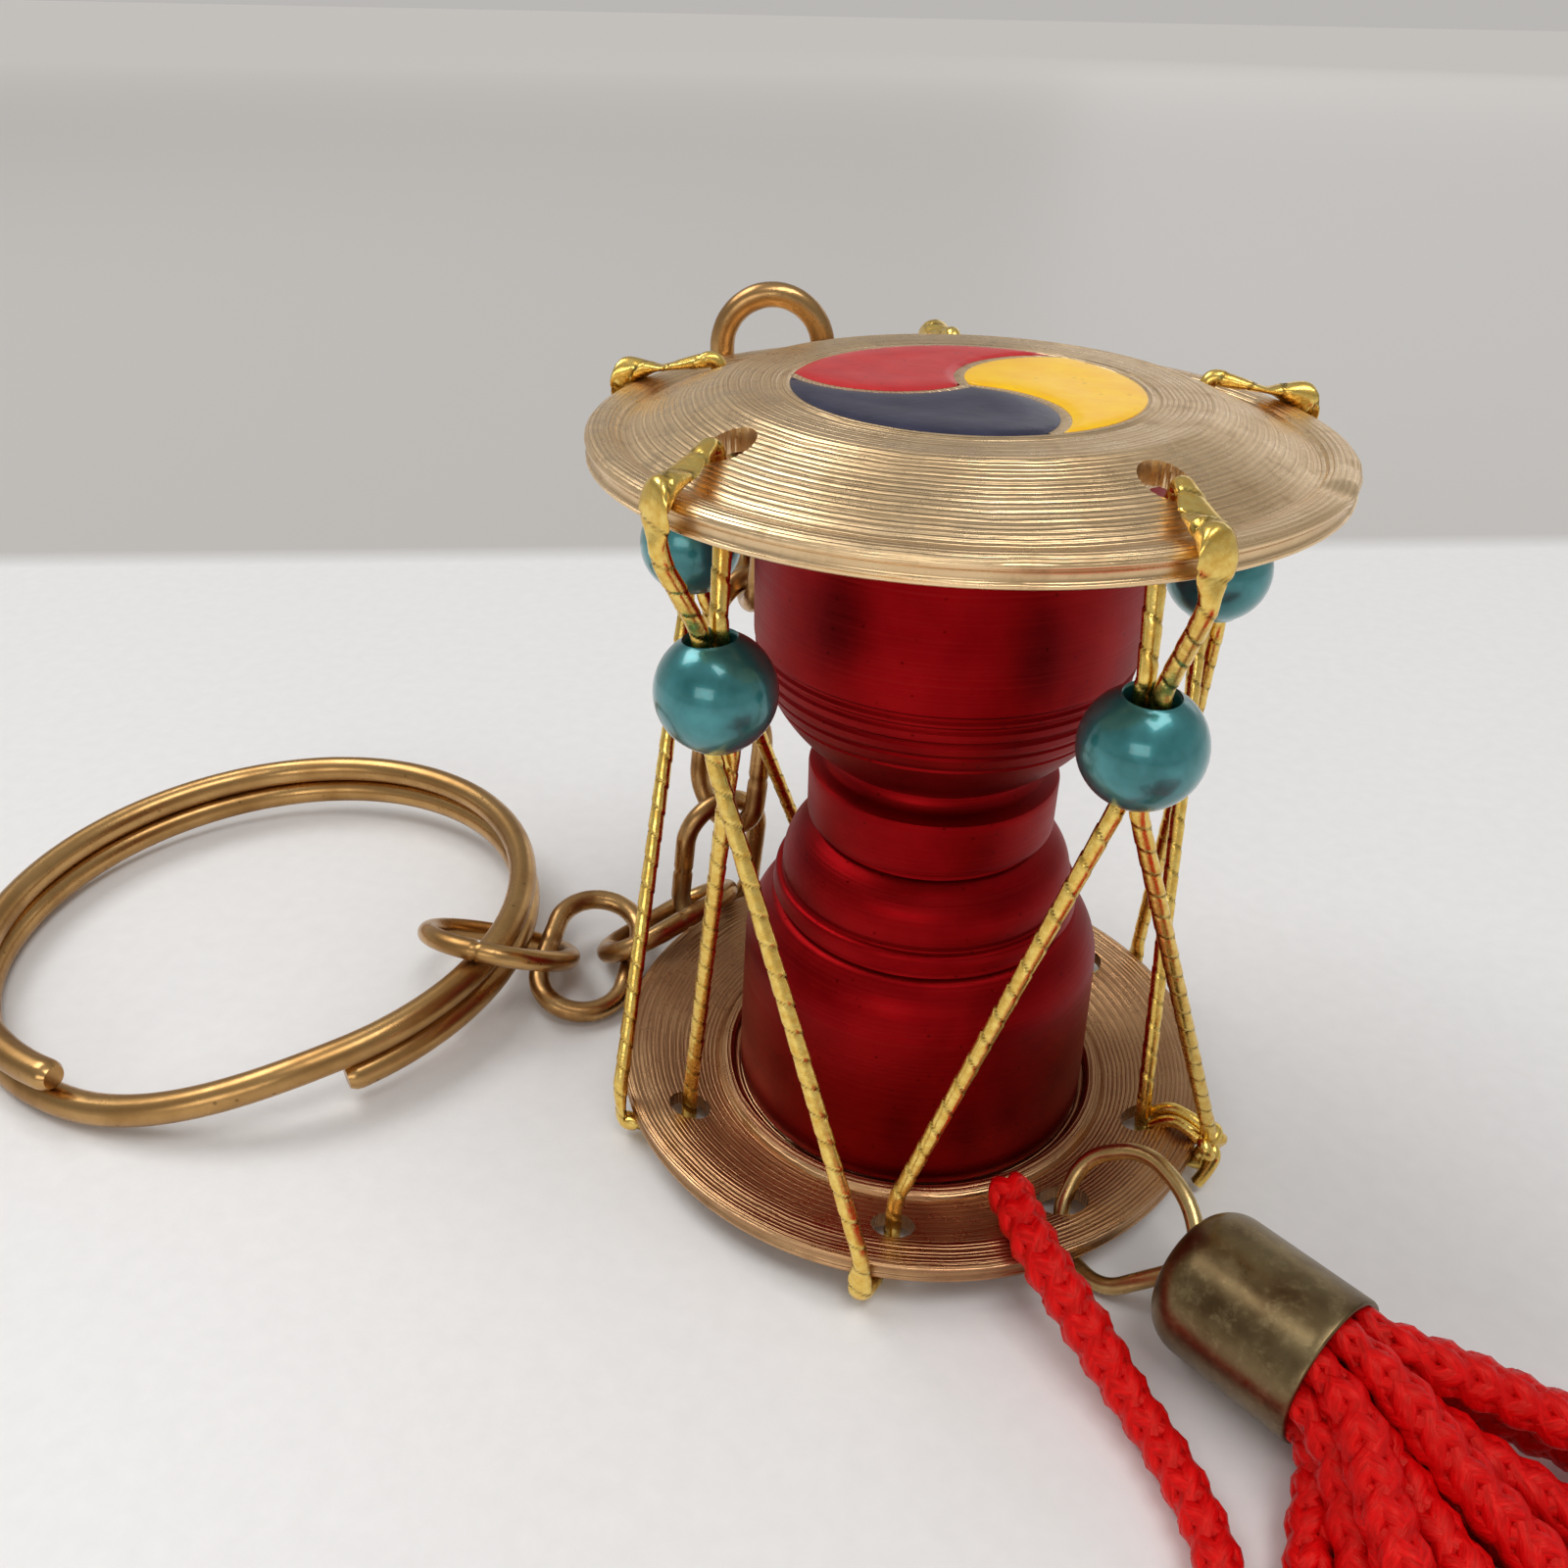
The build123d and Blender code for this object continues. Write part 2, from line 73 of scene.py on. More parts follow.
# ---- the drum, in millimetres, as its CAD nodes have it ----
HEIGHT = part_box("top_head")[1].z / MM
RIM_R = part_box("top_head")[1].x / MM
BOSS_R = 9.5
FLANK_SLOPE = math.tan(math.radians(21.5))
FACE_T = 0.9
ENAMEL_R = 6.95
WALL_T = 0.42
SWIRL_BOW = 0.34
SWIRL_TURN = 49.0
FILL_SPACING = 0.2
ROUND_STEPS = 288
GROOVES = (22.6, 23.35, 24.1, 24.8, 25.3)

# Each dent's place from the axis, depth under the top, reach and depth.
DENTS = ((13.4, -5.9, 1.55, 1.1, 0.22), (14.6, -3.0, 1.5, 0.8, 0.12))

# ---- the lacing ----
CORD_R = 0.36
TOP_HOLE_R = 11.1
LOW_HOLE_R = 12.3
LACE_HOLE_R = 1.0
BEAD_R = 2.35
BEAD_BORE_R = 0.95
BEAD_GAP = 0.46
BEAD_RUN = 2.6
TOP_BEARINGS = (-137.0, -52.0, 30.0, 94.0, 157.0)
OVER_BEARINGS = (-129.0, -59.0, 22.0, 97.0, 165.0)
LOW_BEARINGS = (-148.0, -90.0, -18.0, 40.0, 119.0)
UNDER_BEARINGS = (-153.0, -94.5, -21.0, 36.0, 116.0)
BEAD_HEIGHTS = (26.7, 26.1, 27.1, 27.0, 27.2)
LACING_ORDER = (2, 3, 4, 0, 1)
KNOT_R = 0.31
CORD_STEP = 0.09
CHAIN_HOLE = (12.9, 122.5, 1.1)
LOOP_HOLE = (12.3, 52.0, 1.15)

# ---- chain, rings and tassel ----
LINK_WIRE_R = 0.575
LINK_LENGTH = 8.3
LINK_WIDTH = 4.8
JUMP_R = 4.0
SPLIT_CENTRE = (-38.0, 4.24, 2.33)
SPLIT_ACROSS = (0.999, -0.031, 0.032)
SPLIT_ALONG = (0.03, 0.999, 0.029)
SPLIT_R = 15.0
SPLIT_WIRE_R = 0.8
SPLIT_STEP = 0.83
SPLIT_OPEN = (258.0, 313.0)
CAP_TIP = (12.35, -13.45, 3.16)
CAP_BEARING = -43.5
CAP_RISE = 3.0
CAP_R = 3.22
CAP_LENGTH = 6.9
CAP_WALL = 0.3
CAP_ROUND = 1.6
CAP_EYE_R = 1.6
CAP_EYE_AT = (0.38, 0.46)
BUNDLE_END = 1.4
FAN_ROOT = 3.2
MOUTH_RUN = 1.3

# Each strand as in the CAD: its slot in the mouth, then (reach, bearing, height) points.
STRANDS = (
    (2.15, 170, ((8.8, -75, 2.0), (14, -77, 1.0), (23, -77, 0.95), (32, -74, 0.95), (39.5, -71, 0.95))),
    (2.15, 250, ((8.4, -66, 0.95), (14, -65, 1.0), (22, -63, 0.95), (31, -64, 1.0), (39.5, -62, 0.95))),
    (0.82, 270, ((8.4, -53, 1.5), (14, -52, 0.95), (23, -53, 1.0), (32, -51, 0.95), (40, -52, 0.95))),
    (2.15, 290, ((8.2, -40, 0.95), (14, -39, 1.0), (22, -40, 0.95), (31, -39.5, 0.95), (39.5, -41, 1.0))),
    (2.15, 330, ((8.4, -26, 0.95), (14, -25, 1.0), (22, -27, 0.95), (31, -29, 0.95), (39.5, -30, 1.0))),
    (2.15, 10, ((8.6, -11, 2.0), (14, -12, 1.0), (22, -15, 0.95), (31, -18, 0.95), (39.5, -22, 0.95))),
    (2.15, 130, ((8.6, -72, 3.9), (14, -72, 2.6), (23, -70, 1.8), (32, -68.5, 0.95), (39, -67, 0.95))),
    (0.82, 150, ((8.4, -59, 3.0), (14, -59, 2.6), (22, -58, 2.0), (31, -58, 0.95), (39, -57, 0.95))),
    (2.15, 90, ((8.6, -46, 3.8), (14, -46, 2.7), (22, -47, 2.0), (31, -46, 0.95), (38.5, -47, 1.0))),
    (0.82, 30, ((8.4, -33, 2.9), (14, -32, 2.6), (23, -33, 1.7), (32, -34.5, 0.95), (39, -35.5, 0.95))),
    (2.15, 50, ((8.6, -16, 4.1), (14, -17, 3.1), (22, -20, 2.1), (31, -23.5, 0.95), (39, -26, 0.95))),
)
LOOSE_SLOT = (2.15, 210)
LOOSE_ROUTE = (
    (15.95, -23.2, 1.2), (15.4, -26.8, 1.0), (15.7, -30.8, 1.0), (16.2, -34.8, 1.0), (14.6, -38.6, 1.05),
    (11.0, -40.2, 1.0), (7.9, -38.2, 1.05), (8.3, -34.6, 1.0), (10.8, -31.6, 1.05), (12.7, -28.3, 1.05),
    (12.7, -24.6, 1.05), (11.4, -21.2, 1.05), (9.8, -18.7, 1.3), (7.9, -16.3, 2.6), (5.9, -13.6, 3.45),
    (5.0, -10.4, 3.0),
)
STRAND_R = 0.95
MOUTH_SQUEEZE = 0.76
YARNS = 8
YARN_PITCH = 5.6


# ---- camera, light and floor ----

def linked(name, data):
    """A new object in the scene that holds some data."""
    item = bpy.data.objects.new(name, data)
    bpy.context.scene.collection.objects.link(item)
    return item


def make_camera():
    """The camera, at the viewing angle of the front view."""
    data = bpy.data.cameras.new("camera")
    data.lens = 29.757
    data.sensor_width = 36.0
    data.clip_start = 0.002
    camera = linked("camera", data)
    right = Vector((0.98982, 0.14135, 0.01681)).normalized()
    ahead = Vector((-0.11271, 0.85037, -0.51397)).normalized()
    up = right.cross(ahead)
    turn = Matrix((right, up, -ahead)).transposed()
    camera.matrix_world = Matrix.Translation((0.0, -0.05227, 0.0485)) @ turn.to_4x4()
    bpy.context.scene.camera = camera


def area_light(name, at, size, power, colour):
    """A soft oblong light at a point, aimed at the middle of the drum."""
    data = bpy.data.lights.new(name, "AREA")
    data.shape = "RECTANGLE"
    data.size, data.size_y = size
    data.energy = power
    data.color = colour
    lamp = linked(name, data)
    lamp.location = at
    lamp.rotation_euler = (Vector(ROOM_CENTRE) - Vector(at)).to_track_quat("-Z", "Y").to_euler()


def make_light():
    """A pale room and four soft lights."""
    bpy.context.scene.view_settings.view_transform = "Standard"
    bpy.context.scene.view_settings.look = "None"
    world = bpy.data.worlds.new("room")
    bpy.context.scene.world = world
    world.use_nodes = True
    nodes, links = world.node_tree.nodes, world.node_tree.links
    background = nodes["Background"]
    coords = nodes.new("ShaderNodeTexCoord")
    split = nodes.new("ShaderNodeSeparateXYZ")
    ramp = nodes.new("ShaderNodeValToRGB")
    links.new(coords.outputs["Generated"], split.inputs[0])
    links.new(split.outputs["Z"], ramp.inputs[0])
    links.new(ramp.outputs[0], background.inputs["Color"])
    fill_ramp(ramp, ROOM_TONES)
    background.inputs["Strength"].default_value = ROOM_STRENGTH
    for lamp in LAMPS:
        area_light(*lamp)


def fill_ramp(ramp, stops):
    """Sets a colour ramp's stops."""
    elements = ramp.color_ramp.elements
    while len(elements) < len(stops):
        elements.new(0.5)
    for element, (at, colour) in zip(elements, stops):
        element.position = at
        element.color = (*colour, 1.0)


# ---- materials ----

class Paint:
    """A material under construction: one Principled shader and short ways to wire it."""

    def __init__(self, name, colour, metallic, roughness):
        self.material = bpy.data.materials.new(name)
        self.material.use_nodes = True
        self.nodes = self.material.node_tree.nodes
        self.links = self.material.node_tree.links
        self.shader = self.nodes["Principled BSDF"]
        self.set("Base Color", (*colour, 1.0))
        self.set("Metallic", metallic)
        self.set("Roughness", roughness)
        self.coords = self.nodes.new("ShaderNodeTexCoord").outputs["Object"]

    def set(self, socket, value):
        self.shader.inputs[socket].default_value = value

    def wire(self, output, socket):
        self.links.new(output, self.shader.inputs[socket])

    def tint(self, output):
        self.wire(output, "Base Color")

    def rough(self, value, low, high, to_low, to_high):
        self.wire(self.remap(value, low, high, to_low, to_high), "Roughness")

    def stretched(self, scale):
        """Object coordinates with a scale for each axis."""
        mapping = self.nodes.new("ShaderNodeMapping")
        mapping.inputs["Scale"].default_value = scale
        self.links.new(self.coords, mapping.inputs["Vector"])
        return mapping.outputs[0]

    def noise(self, scale, detail=4.0, rough=0.55, vector=None):
        node = self.nodes.new("ShaderNodeTexNoise")
        node.inputs["Scale"].default_value = scale
        node.inputs["Detail"].default_value = detail
        node.inputs["Roughness"].default_value = rough
        self.links.new(vector or self.coords, node.inputs["Vector"])
        return node.outputs["Fac"]

    def spots(self, scale):
        node = self.nodes.new("ShaderNodeTexVoronoi")
        node.inputs["Scale"].default_value = scale
        self.links.new(self.coords, node.inputs["Vector"])
        return node.outputs["Distance"]

    def math(self, operation, a, b=0.0):
        node = self.nodes.new("ShaderNodeMath")
        node.operation = operation
        for socket, value in zip(node.inputs, (a, b)):
            if isinstance(value, (int, float)):
                socket.default_value = value
            else:
                self.links.new(value, socket)
        return node.outputs[0]

    def remap(self, value, low, high, to_low, to_high):
        node = self.nodes.new("ShaderNodeMapRange")
        for socket, number in zip(list(node.inputs)[1:5], (low, high, to_low, to_high)):
            socket.default_value = number
        self.links.new(value, node.inputs[0])
        return node.outputs[0]

    def mix(self, share, a, b):
        node = self.nodes.new("ShaderNodeMix")
        node.data_type = "RGBA"
        self._put(node.inputs[0], share)
        self._put(node.inputs[6], a)
        self._put(node.inputs[7], b)
        return node.outputs[2]

    def fade(self, value, low, high, a, b, most=1.0):
        """Colour a where a value is low, turning to a share of colour b where it is high."""
        return self.mix(self.remap(value, low, high, 0.0, most), a, b)

    def _put(self, socket, value):
        if isinstance(value, tuple):
            socket.default_value = (*value, 1.0)
        elif isinstance(value, (int, float)):
            socket.default_value = value
        else:
            self.links.new(value, socket)

    def attribute(self, name):
        node = self.nodes.new("ShaderNodeAttribute")
        node.attribute_name = name
        return node.outputs["Fac"]

    def bump(self, height, depth):
        """Adds a bump of a real depth in metres, on top of any earlier one."""
        node = self.nodes.new("ShaderNodeBump")
        node.inputs["Strength"].default_value = 1.0
        node.inputs["Distance"].default_value = depth
        self.links.new(height, node.inputs["Height"])
        normal = self.shader.inputs["Normal"]
        if normal.is_linked:
            self.links.new(normal.links[0].from_socket, node.inputs["Normal"])
        self.links.new(node.outputs[0], normal)

    def rings(self, pitch, wobble):
        """A wave of the distance from the drum's axis, for turning marks on a flat face."""
        split = self.nodes.new("ShaderNodeSeparateXYZ")
        self.links.new(self.coords, split.inputs[0])
        x2 = self.math("MULTIPLY", split.outputs["X"], split.outputs["X"])
        y2 = self.math("MULTIPLY", split.outputs["Y"], split.outputs["Y"])
        radius = self.math("SQRT", self.math("ADD", x2, y2))
        turns = self.math("MULTIPLY", radius, 2 * math.pi / pitch)
        turns = self.math("ADD", turns, self.math("MULTIPLY", self.noise(350.0), wobble))
        return self.math("SINE", turns)


def spun_brass(name, light, dark):
    paint = Paint(name, light, 1.0, 0.30)
    wave = paint.rings(0.00021, 6.0)
    fine = paint.rings(0.000083, 9.0)
    patchy = paint.noise(180.0, 5.0)
    patina = paint.noise(900.0, 6.0, 0.65)
    warm = paint.fade(patchy, 0.35, 0.7, light, dark)
    worn = paint.fade(patina, 0.55, 0.75, warm, (0.26, 0.15, 0.07), 0.5)
    lines = paint.remap(wave, -1.0, 1.0, 0.0, 0.28)
    paint.tint(paint.mix(lines, worn, (0.36, 0.22, 0.10)))
    paint.rough(patina, 0.3, 0.8, 0.22, 0.42)
    paint.bump(wave, 0.000012)
    paint.bump(fine, 0.000004)
    paint.bump(paint.noise(2600.0, 3.0), 0.000006)
    paint.set("Anisotropic", 0.45)
    return paint.material


def enamel(name, colour, dark):
    paint = Paint(name, colour, 0.0, 0.34)
    blot = paint.noise(700.0, 4.0)
    speck = paint.spots(900.0)
    base = paint.fade(blot, 0.35, 0.7, colour, dark, 0.6)
    dots = paint.remap(speck, 0.05, 0.12, 0.5, 0.0)
    paint.tint(paint.mix(dots, base, tuple(0.45 * c for c in dark)))
    paint.set("Specular IOR Level", 0.2)
    paint.set("Coat Weight", 0.1)
    paint.set("Coat Roughness", 0.12)
    paint.bump(paint.noise(420.0, 3.0), 0.00005)
    paint.bump(paint.noise(3500.0, 2.0), 0.000004)
    return paint.material


def red_anodised():
    paint = Paint("red_anodised", (0.42, 0.006, 0.010), 1.0, 0.34)
    across = paint.stretched((30.0, 30.0, 9000.0))
    turning = paint.noise(1.0, 4.0, 0.6, across)
    cloud = paint.noise(260.0, 4.0)
    pits = paint.spots(1400.0)
    base = paint.fade(cloud, 0.35, 0.7, (0.31, 0.004, 0.006), (0.20, 0.001, 0.003))
    lined = paint.fade(turning, 0.45, 0.75, base, (0.46, 0.02, 0.018), 0.25)
    pitted = paint.mix(paint.remap(pits, 0.06, 0.13, 0.7, 0.0), lined, (0.10, 0.0, 0.0))
    paint.tint(pitted)
    paint.rough(turning, 0.3, 0.8, 0.38, 0.52)
    paint.bump(turning, 0.000010)
    paint.bump(paint.noise(5200.0, 3.0), 0.000003)
    paint.set("Anisotropic", 0.5)
    return paint.material


def gold_foil():
    paint = Paint("gold_foil", (0.83, 0.60, 0.12), 1.0, 0.22)
    seam = paint.attribute("seam")
    crinkle = paint.noise(3000.0, 3.0)
    tone = paint.fade(crinkle, 0.35, 0.7, (0.93, 0.68, 0.19), (0.78, 0.48, 0.09))
    paint.tint(paint.mix(paint.math("MULTIPLY", seam, 0.85), tone, (0.10, 0.05, 0.008)))
    paint.rough(crinkle, 0.3, 0.7, 0.16, 0.34)
    paint.bump(crinkle, 0.000015)
    return paint.material


def pearl():
    paint = Paint("pearl", (0.10, 0.42, 0.46), 0.55, 0.28)
    swirl = paint.noise(650.0, 3.0)
    # Painted sheen: towards its outline as seen from the camera, the bead turns to an even teal, lighter
    # than its dark swirls.
    facing = paint.nodes.new("ShaderNodeLayerWeight")
    facing.inputs["Blend"].default_value = 0.35
    body = paint.fade(swirl, 0.35, 0.68, (0.018, 0.17, 0.18), (0.06, 0.31, 0.33))
    paint.tint(paint.mix(facing.outputs["Facing"], body, (0.04, 0.23, 0.25)))
    paint.set("Coat Weight", 0.8)
    paint.set("Coat Roughness", 0.06)
    paint.set("Subsurface Weight", 0.1)
    paint.set("Subsurface Scale", 0.001)
    paint.bump(paint.noise(900.0, 3.0), 0.00002)
    return paint.material


def bronze(name, light, dark, scale):
    paint = Paint(name, light, 1.0, 0.26)
    wear = paint.noise(scale, 5.0, 0.6)
    fine = paint.noise(scale * 6, 3.0)
    base = paint.fade(wear, 0.38, 0.68, light, dark)
    speck = paint.remap(paint.spots(scale * 4), 0.04, 0.12, 0.55, 0.0)
    paint.tint(paint.mix(speck, base, (0.07, 0.035, 0.015)))
    paint.rough(wear, 0.3, 0.75, 0.20, 0.42)
    paint.bump(fine, 0.000006)
    paint.bump(wear, 0.00002)
    return paint.material


def antique_cap():
    paint = Paint("antique_cap", (0.26, 0.20, 0.10), 1.0, 0.34)
    grain = paint.noise(1500.0, 5.0, 0.7)
    cloud = paint.noise(240.0, 4.0, 0.6)
    base = paint.fade(cloud, 0.38, 0.66, (0.24, 0.175, 0.085), (0.095, 0.052, 0.022))
    mottled = paint.fade(grain, 0.5, 0.7, base, (0.40, 0.31, 0.16), 0.5)
    paint.tint(mottled)
    paint.rough(grain, 0.3, 0.75, 0.26, 0.46)
    paint.bump(grain, 0.000008)
    paint.set("Anisotropic", 0.3)
    return paint.material


def red_yarn():
    paint = Paint("red_yarn", (0.74, 0.004, 0.008), 0.0, 0.40)
    uv = paint.nodes.new("ShaderNodeUVMap").outputs[0]
    mapping = paint.nodes.new("ShaderNodeMapping")
    mapping.inputs["Scale"].default_value = (14.0, 1.6, 1.0)
    paint.links.new(uv, mapping.inputs["Vector"])
    fibre = paint.noise(1.0, 3.0, 0.6, mapping.outputs[0])
    tone = paint.noise(300.0, 3.0)
    base = paint.fade(fibre, 0.3, 0.7, (0.50, 0.0, 0.001), (0.90, 0.004, 0.006))
    toned = paint.fade(tone, 0.35, 0.7, base, (0.55, 0.0, 0.002), 0.3)
    # Painted shade: the yarns turn darker where they lie deep, near the core, in the crevices between them.
    crevice_shade = paint.remap(paint.attribute("lift"), 0.60, 0.88, 0.6, 0.0)
    paint.tint(paint.mix(crevice_shade, toned, (0.13, 0.0, 0.0)))
    paint.set("Specular IOR Level", 0.45)
    paint.set("Specular Tint", (1.0, 0.35, 0.25, 1.0))
    paint.bump(fibre, 0.00006)
    return paint.material


def bundle_fabric():
    """The bound cord heads deep in the cap."""
    paint = Paint("bundle_fabric", (0.45, 0.0, 0.002), 0.0, 0.6)
    weave = paint.noise(1800.0, 3.0)
    paint.tint(paint.fade(weave, 0.35, 0.65, (0.20, 0.0, 0.0), (0.60, 0.0, 0.003)))
    paint.bump(weave, 0.0001)
    return paint.material


def pale_floor():
    """Pale near the drum; past an edge behind it, a darker even grey that glows to stay even."""
    paint = Paint("pale_floor", (0.84, 0.83, 0.82), 0.0, 0.42)
    split = paint.nodes.new("ShaderNodeSeparateXYZ")
    paint.links.new(paint.coords, split.inputs[0])
    back = paint.math("MULTIPLY", split.outputs["Y"], FLOOR_EDGE[1])
    slanted = paint.math("ADD", back, paint.math("MULTIPLY", split.outputs["X"], FLOOR_EDGE[0]))
    grain = paint.noise(900.0, 3.0)
    tone = paint.fade(grain, 0.3, 0.7, (0.84, 0.83, 0.82), (0.87, 0.86, 0.85))
    beyond = paint.remap(slanted, *FLOOR_EDGE_AT, 0.0, 1.0)
    paint.tint(paint.mix(beyond, tone, (0.30, 0.29, 0.28)))
    paint.set("Emission Color", (0.99, 0.95, 0.90, 1.0))
    glow = paint.remap(slanted, 0.08, 1.2, 0.21, 0.36)
    paint.wire(paint.math("MULTIPLY", beyond, glow), "Emission Strength")
    paint.bump(grain, 0.00002)
    return paint.material


# ---- mesh helpers ----

def smooth(share):
    """A share from 0 to 1, eased at both ends."""
    return share * share * (3 - 2 * share)


def add_mesh(points, faces, more, more_faces):
    """Adds a mesh's points and faces to growing lists."""
    base = len(points)
    points.extend(more)
    faces.extend(tuple(base + i for i in face) for face in more_faces)


def new_object(name, points, faces, material, crease):
    """A smooth mesh object from points in millimetres."""
    mesh = bpy.data.meshes.new(name)
    mesh.from_pydata([tuple(float(c) * MM for c in p) for p in points], [], [tuple(f) for f in faces])
    mesh.validate()
    mesh.update()
    piece = linked(name, mesh)
    finish_mesh(piece, material, crease)
    return piece


def face_outward(mesh):
    """Turns every face of a closed mesh outward."""
    work = bmesh.new()
    work.from_mesh(mesh)
    bmesh.ops.recalc_face_normals(work, faces=work.faces)
    work.to_mesh(mesh)
    work.free()


def finish_mesh(piece, material, crease):
    """Outward faces, smooth shading below an angle in degrees, and one material."""
    face_outward(piece.data)
    piece.data.shade_smooth()
    piece.data.set_sharp_from_angle(angle=math.radians(crease))
    piece.data.materials.clear()
    piece.data.materials.append(material)


def settle(piece, body, slot, *nodes):
    """A finished piece rides on its body and stands for its CAD nodes; its slot is not used."""
    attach(piece, body)
    if nodes:
        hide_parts(*nodes)


def lathe(profile, steps=ROUND_STEPS):
    """Points and faces of a closed profile of (radius, height) pairs turned about Z."""
    points, faces, rows = [], [], []
    angles = [2 * math.pi * i / steps for i in range(steps)]
    for radius, z in profile:
        if radius < 1e-6:
            rows.append([len(points)] * steps)
            points.append((0.0, 0.0, z))
            continue
        rows.append(list(range(len(points), len(points) + steps)))
        points.extend((radius * math.cos(a), radius * math.sin(a), z) for a in angles)
    for row, after in zip(rows, rows[1:]):
        for i in range(steps):
            j = (i + 1) % steps
            corner = (row[i], row[j], after[j], after[i])
            face = tuple(dict.fromkeys(corner))
            if len(face) > 2:
                faces.append(face)
    return points, faces


def frames_along(path, closed=False):
    """Tangents and two steady cross directions at each point of a path."""
    ahead = np.roll(path, -1, 0) - np.roll(path, 1, 0)
    if not closed:
        ahead[0] = path[1] - path[0]
        ahead[-1] = path[-1] - path[-2]
    ahead /= np.linalg.norm(ahead, axis=1)[:, None]
    side = np.cross(ahead[0], (0.0, 0.0, 1.0))
    if np.linalg.norm(side) < 0.1:
        side = np.cross(ahead[0], (1.0, 0.0, 0.0))
    sides = []
    for tangent in ahead:
        side = side - tangent * side.dot(tangent)
        side = side / np.linalg.norm(side)
        sides.append(side)
    sides = np.array(sides)
    ups = np.cross(ahead, sides)
    if closed:
        drift = math.atan2(sides[-1].dot(ups[0]), sides[-1].dot(sides[0]))
        angles = -np.linspace(0.0, 1.0, len(path)) * drift
        turned = sides * np.cos(angles)[:, None] + ups * np.sin(angles)[:, None]
        ups = np.cross(ahead, turned)
        sides = turned
    return ahead, sides, ups


def skin(rings, closed=False):
    """Faces that join rings of points along a path, with flat ends unless it is closed."""
    count, around = rings.shape[:2]
    faces = []
    last = count if closed else count - 1
    for i in range(last):
        base, after = i * around, ((i + 1) % count) * around
        for j in range(around):
            k = (j + 1) % around
            faces.append((base + j, base + k, after + k, after + j))
    if not closed:
        faces.append(tuple(range(around))[::-1])
        faces.append(tuple(range((count - 1) * around, count * around)))
    return rings.reshape(-1, 3), faces


def spokes(sides, ups, angles):
    """Unit directions round each point of a path, at the same angles for every point."""
    return sides[:, None] * np.cos(angles)[None, :, None] + ups[:, None] * np.sin(angles)[None, :, None]


def round_tube(path, radius, around=20, closed=False):
    """Points and faces of a round tube of one radius or one radius for each point."""
    _, sides, ups = frames_along(path, closed)
    radii = np.broadcast_to(np.asarray(radius, float), len(path))
    angles = np.linspace(0, 2 * math.pi, around, endpoint=False)
    return skin(path[:, None] + spokes(sides, ups, angles) * radii[:, None, None], closed)


def route_points(name, points):
    """The points of the NURBS spline whose control points are the route, in millimetres."""
    curve = bpy.data.curves.new(name, "CURVE")
    curve.dimensions = "3D"
    curve.resolution_u = 16
    spline = curve.splines.new("NURBS")
    spline.points.add(len(points) - 1)
    for knot, point in zip(spline.points, points):
        knot.co = (*[c * MM for c in point], 1.0)
    spline.order_u = 3
    spline.use_endpoint_u = True
    holder = linked(name, curve)
    mesh = bpy.data.meshes.new_from_object(holder)
    line = np.array([v.co for v in mesh.vertices], float) / MM
    bpy.data.objects.remove(holder)
    bpy.data.meshes.remove(mesh)
    return line


def even(line, step):
    """The same line with its points an even step apart."""
    gaps = np.linalg.norm(np.diff(line, axis=0), axis=1)
    keep = np.concatenate([[True], gaps > 1e-9])
    line = line[keep]
    along = np.concatenate([[0.0], np.cumsum(np.linalg.norm(np.diff(line, axis=0), axis=1))])
    marks = np.linspace(0.0, along[-1], max(2, int(round(along[-1] / step)) + 1))
    return np.stack([np.interp(marks, along, line[:, i]) for i in range(3)], axis=1), marks


def polar(radius, bearing, z):
    angle = math.radians(bearing)
    return Vector((radius * math.cos(angle), radius * math.sin(angle), z))


def bored(piece, cutters):
    """Cuts joined cutter meshes out of a piece."""
    cut = linked("cutter", cutters)
    modifier = piece.modifiers.new("holes", "BOOLEAN")
    modifier.operation = "DIFFERENCE"
    modifier.solver = "EXACT"
    modifier.object = cut
    depsgraph = bpy.context.evaluated_depsgraph_get()
    result = bpy.data.meshes.new_from_object(piece.evaluated_get(depsgraph))
    piece.modifiers.remove(modifier)
    piece.data = result
    bpy.data.objects.remove(cut)


def drills(holes, low, high, flare=0.0, spread=1.2, steps=48):
    """One mesh of upright drills, each wider at both ends, outside the plate that it passes."""
    points, faces = [], []
    for radius, bearing, size in holes:
        at = polar(radius, bearing, 0.0)
        wide = size + spread
        shaft = (size, low + spread - flare), (size, high - spread + flare)
        profile = ((0.0, low), (wide, low), *shaft, (wide, high), (0.0, high))
        drill, drill_faces = lathe(profile, steps)
        add_mesh(points, faces, [(x + at.x, y + at.y, z) for x, y, z in drill], drill_faces)
    mesh = bpy.data.meshes.new("drills")
    mesh.from_pydata([tuple(c * MM for c in p) for p in points], [], faces)
    face_outward(mesh)
    return mesh


# ---- heads ----

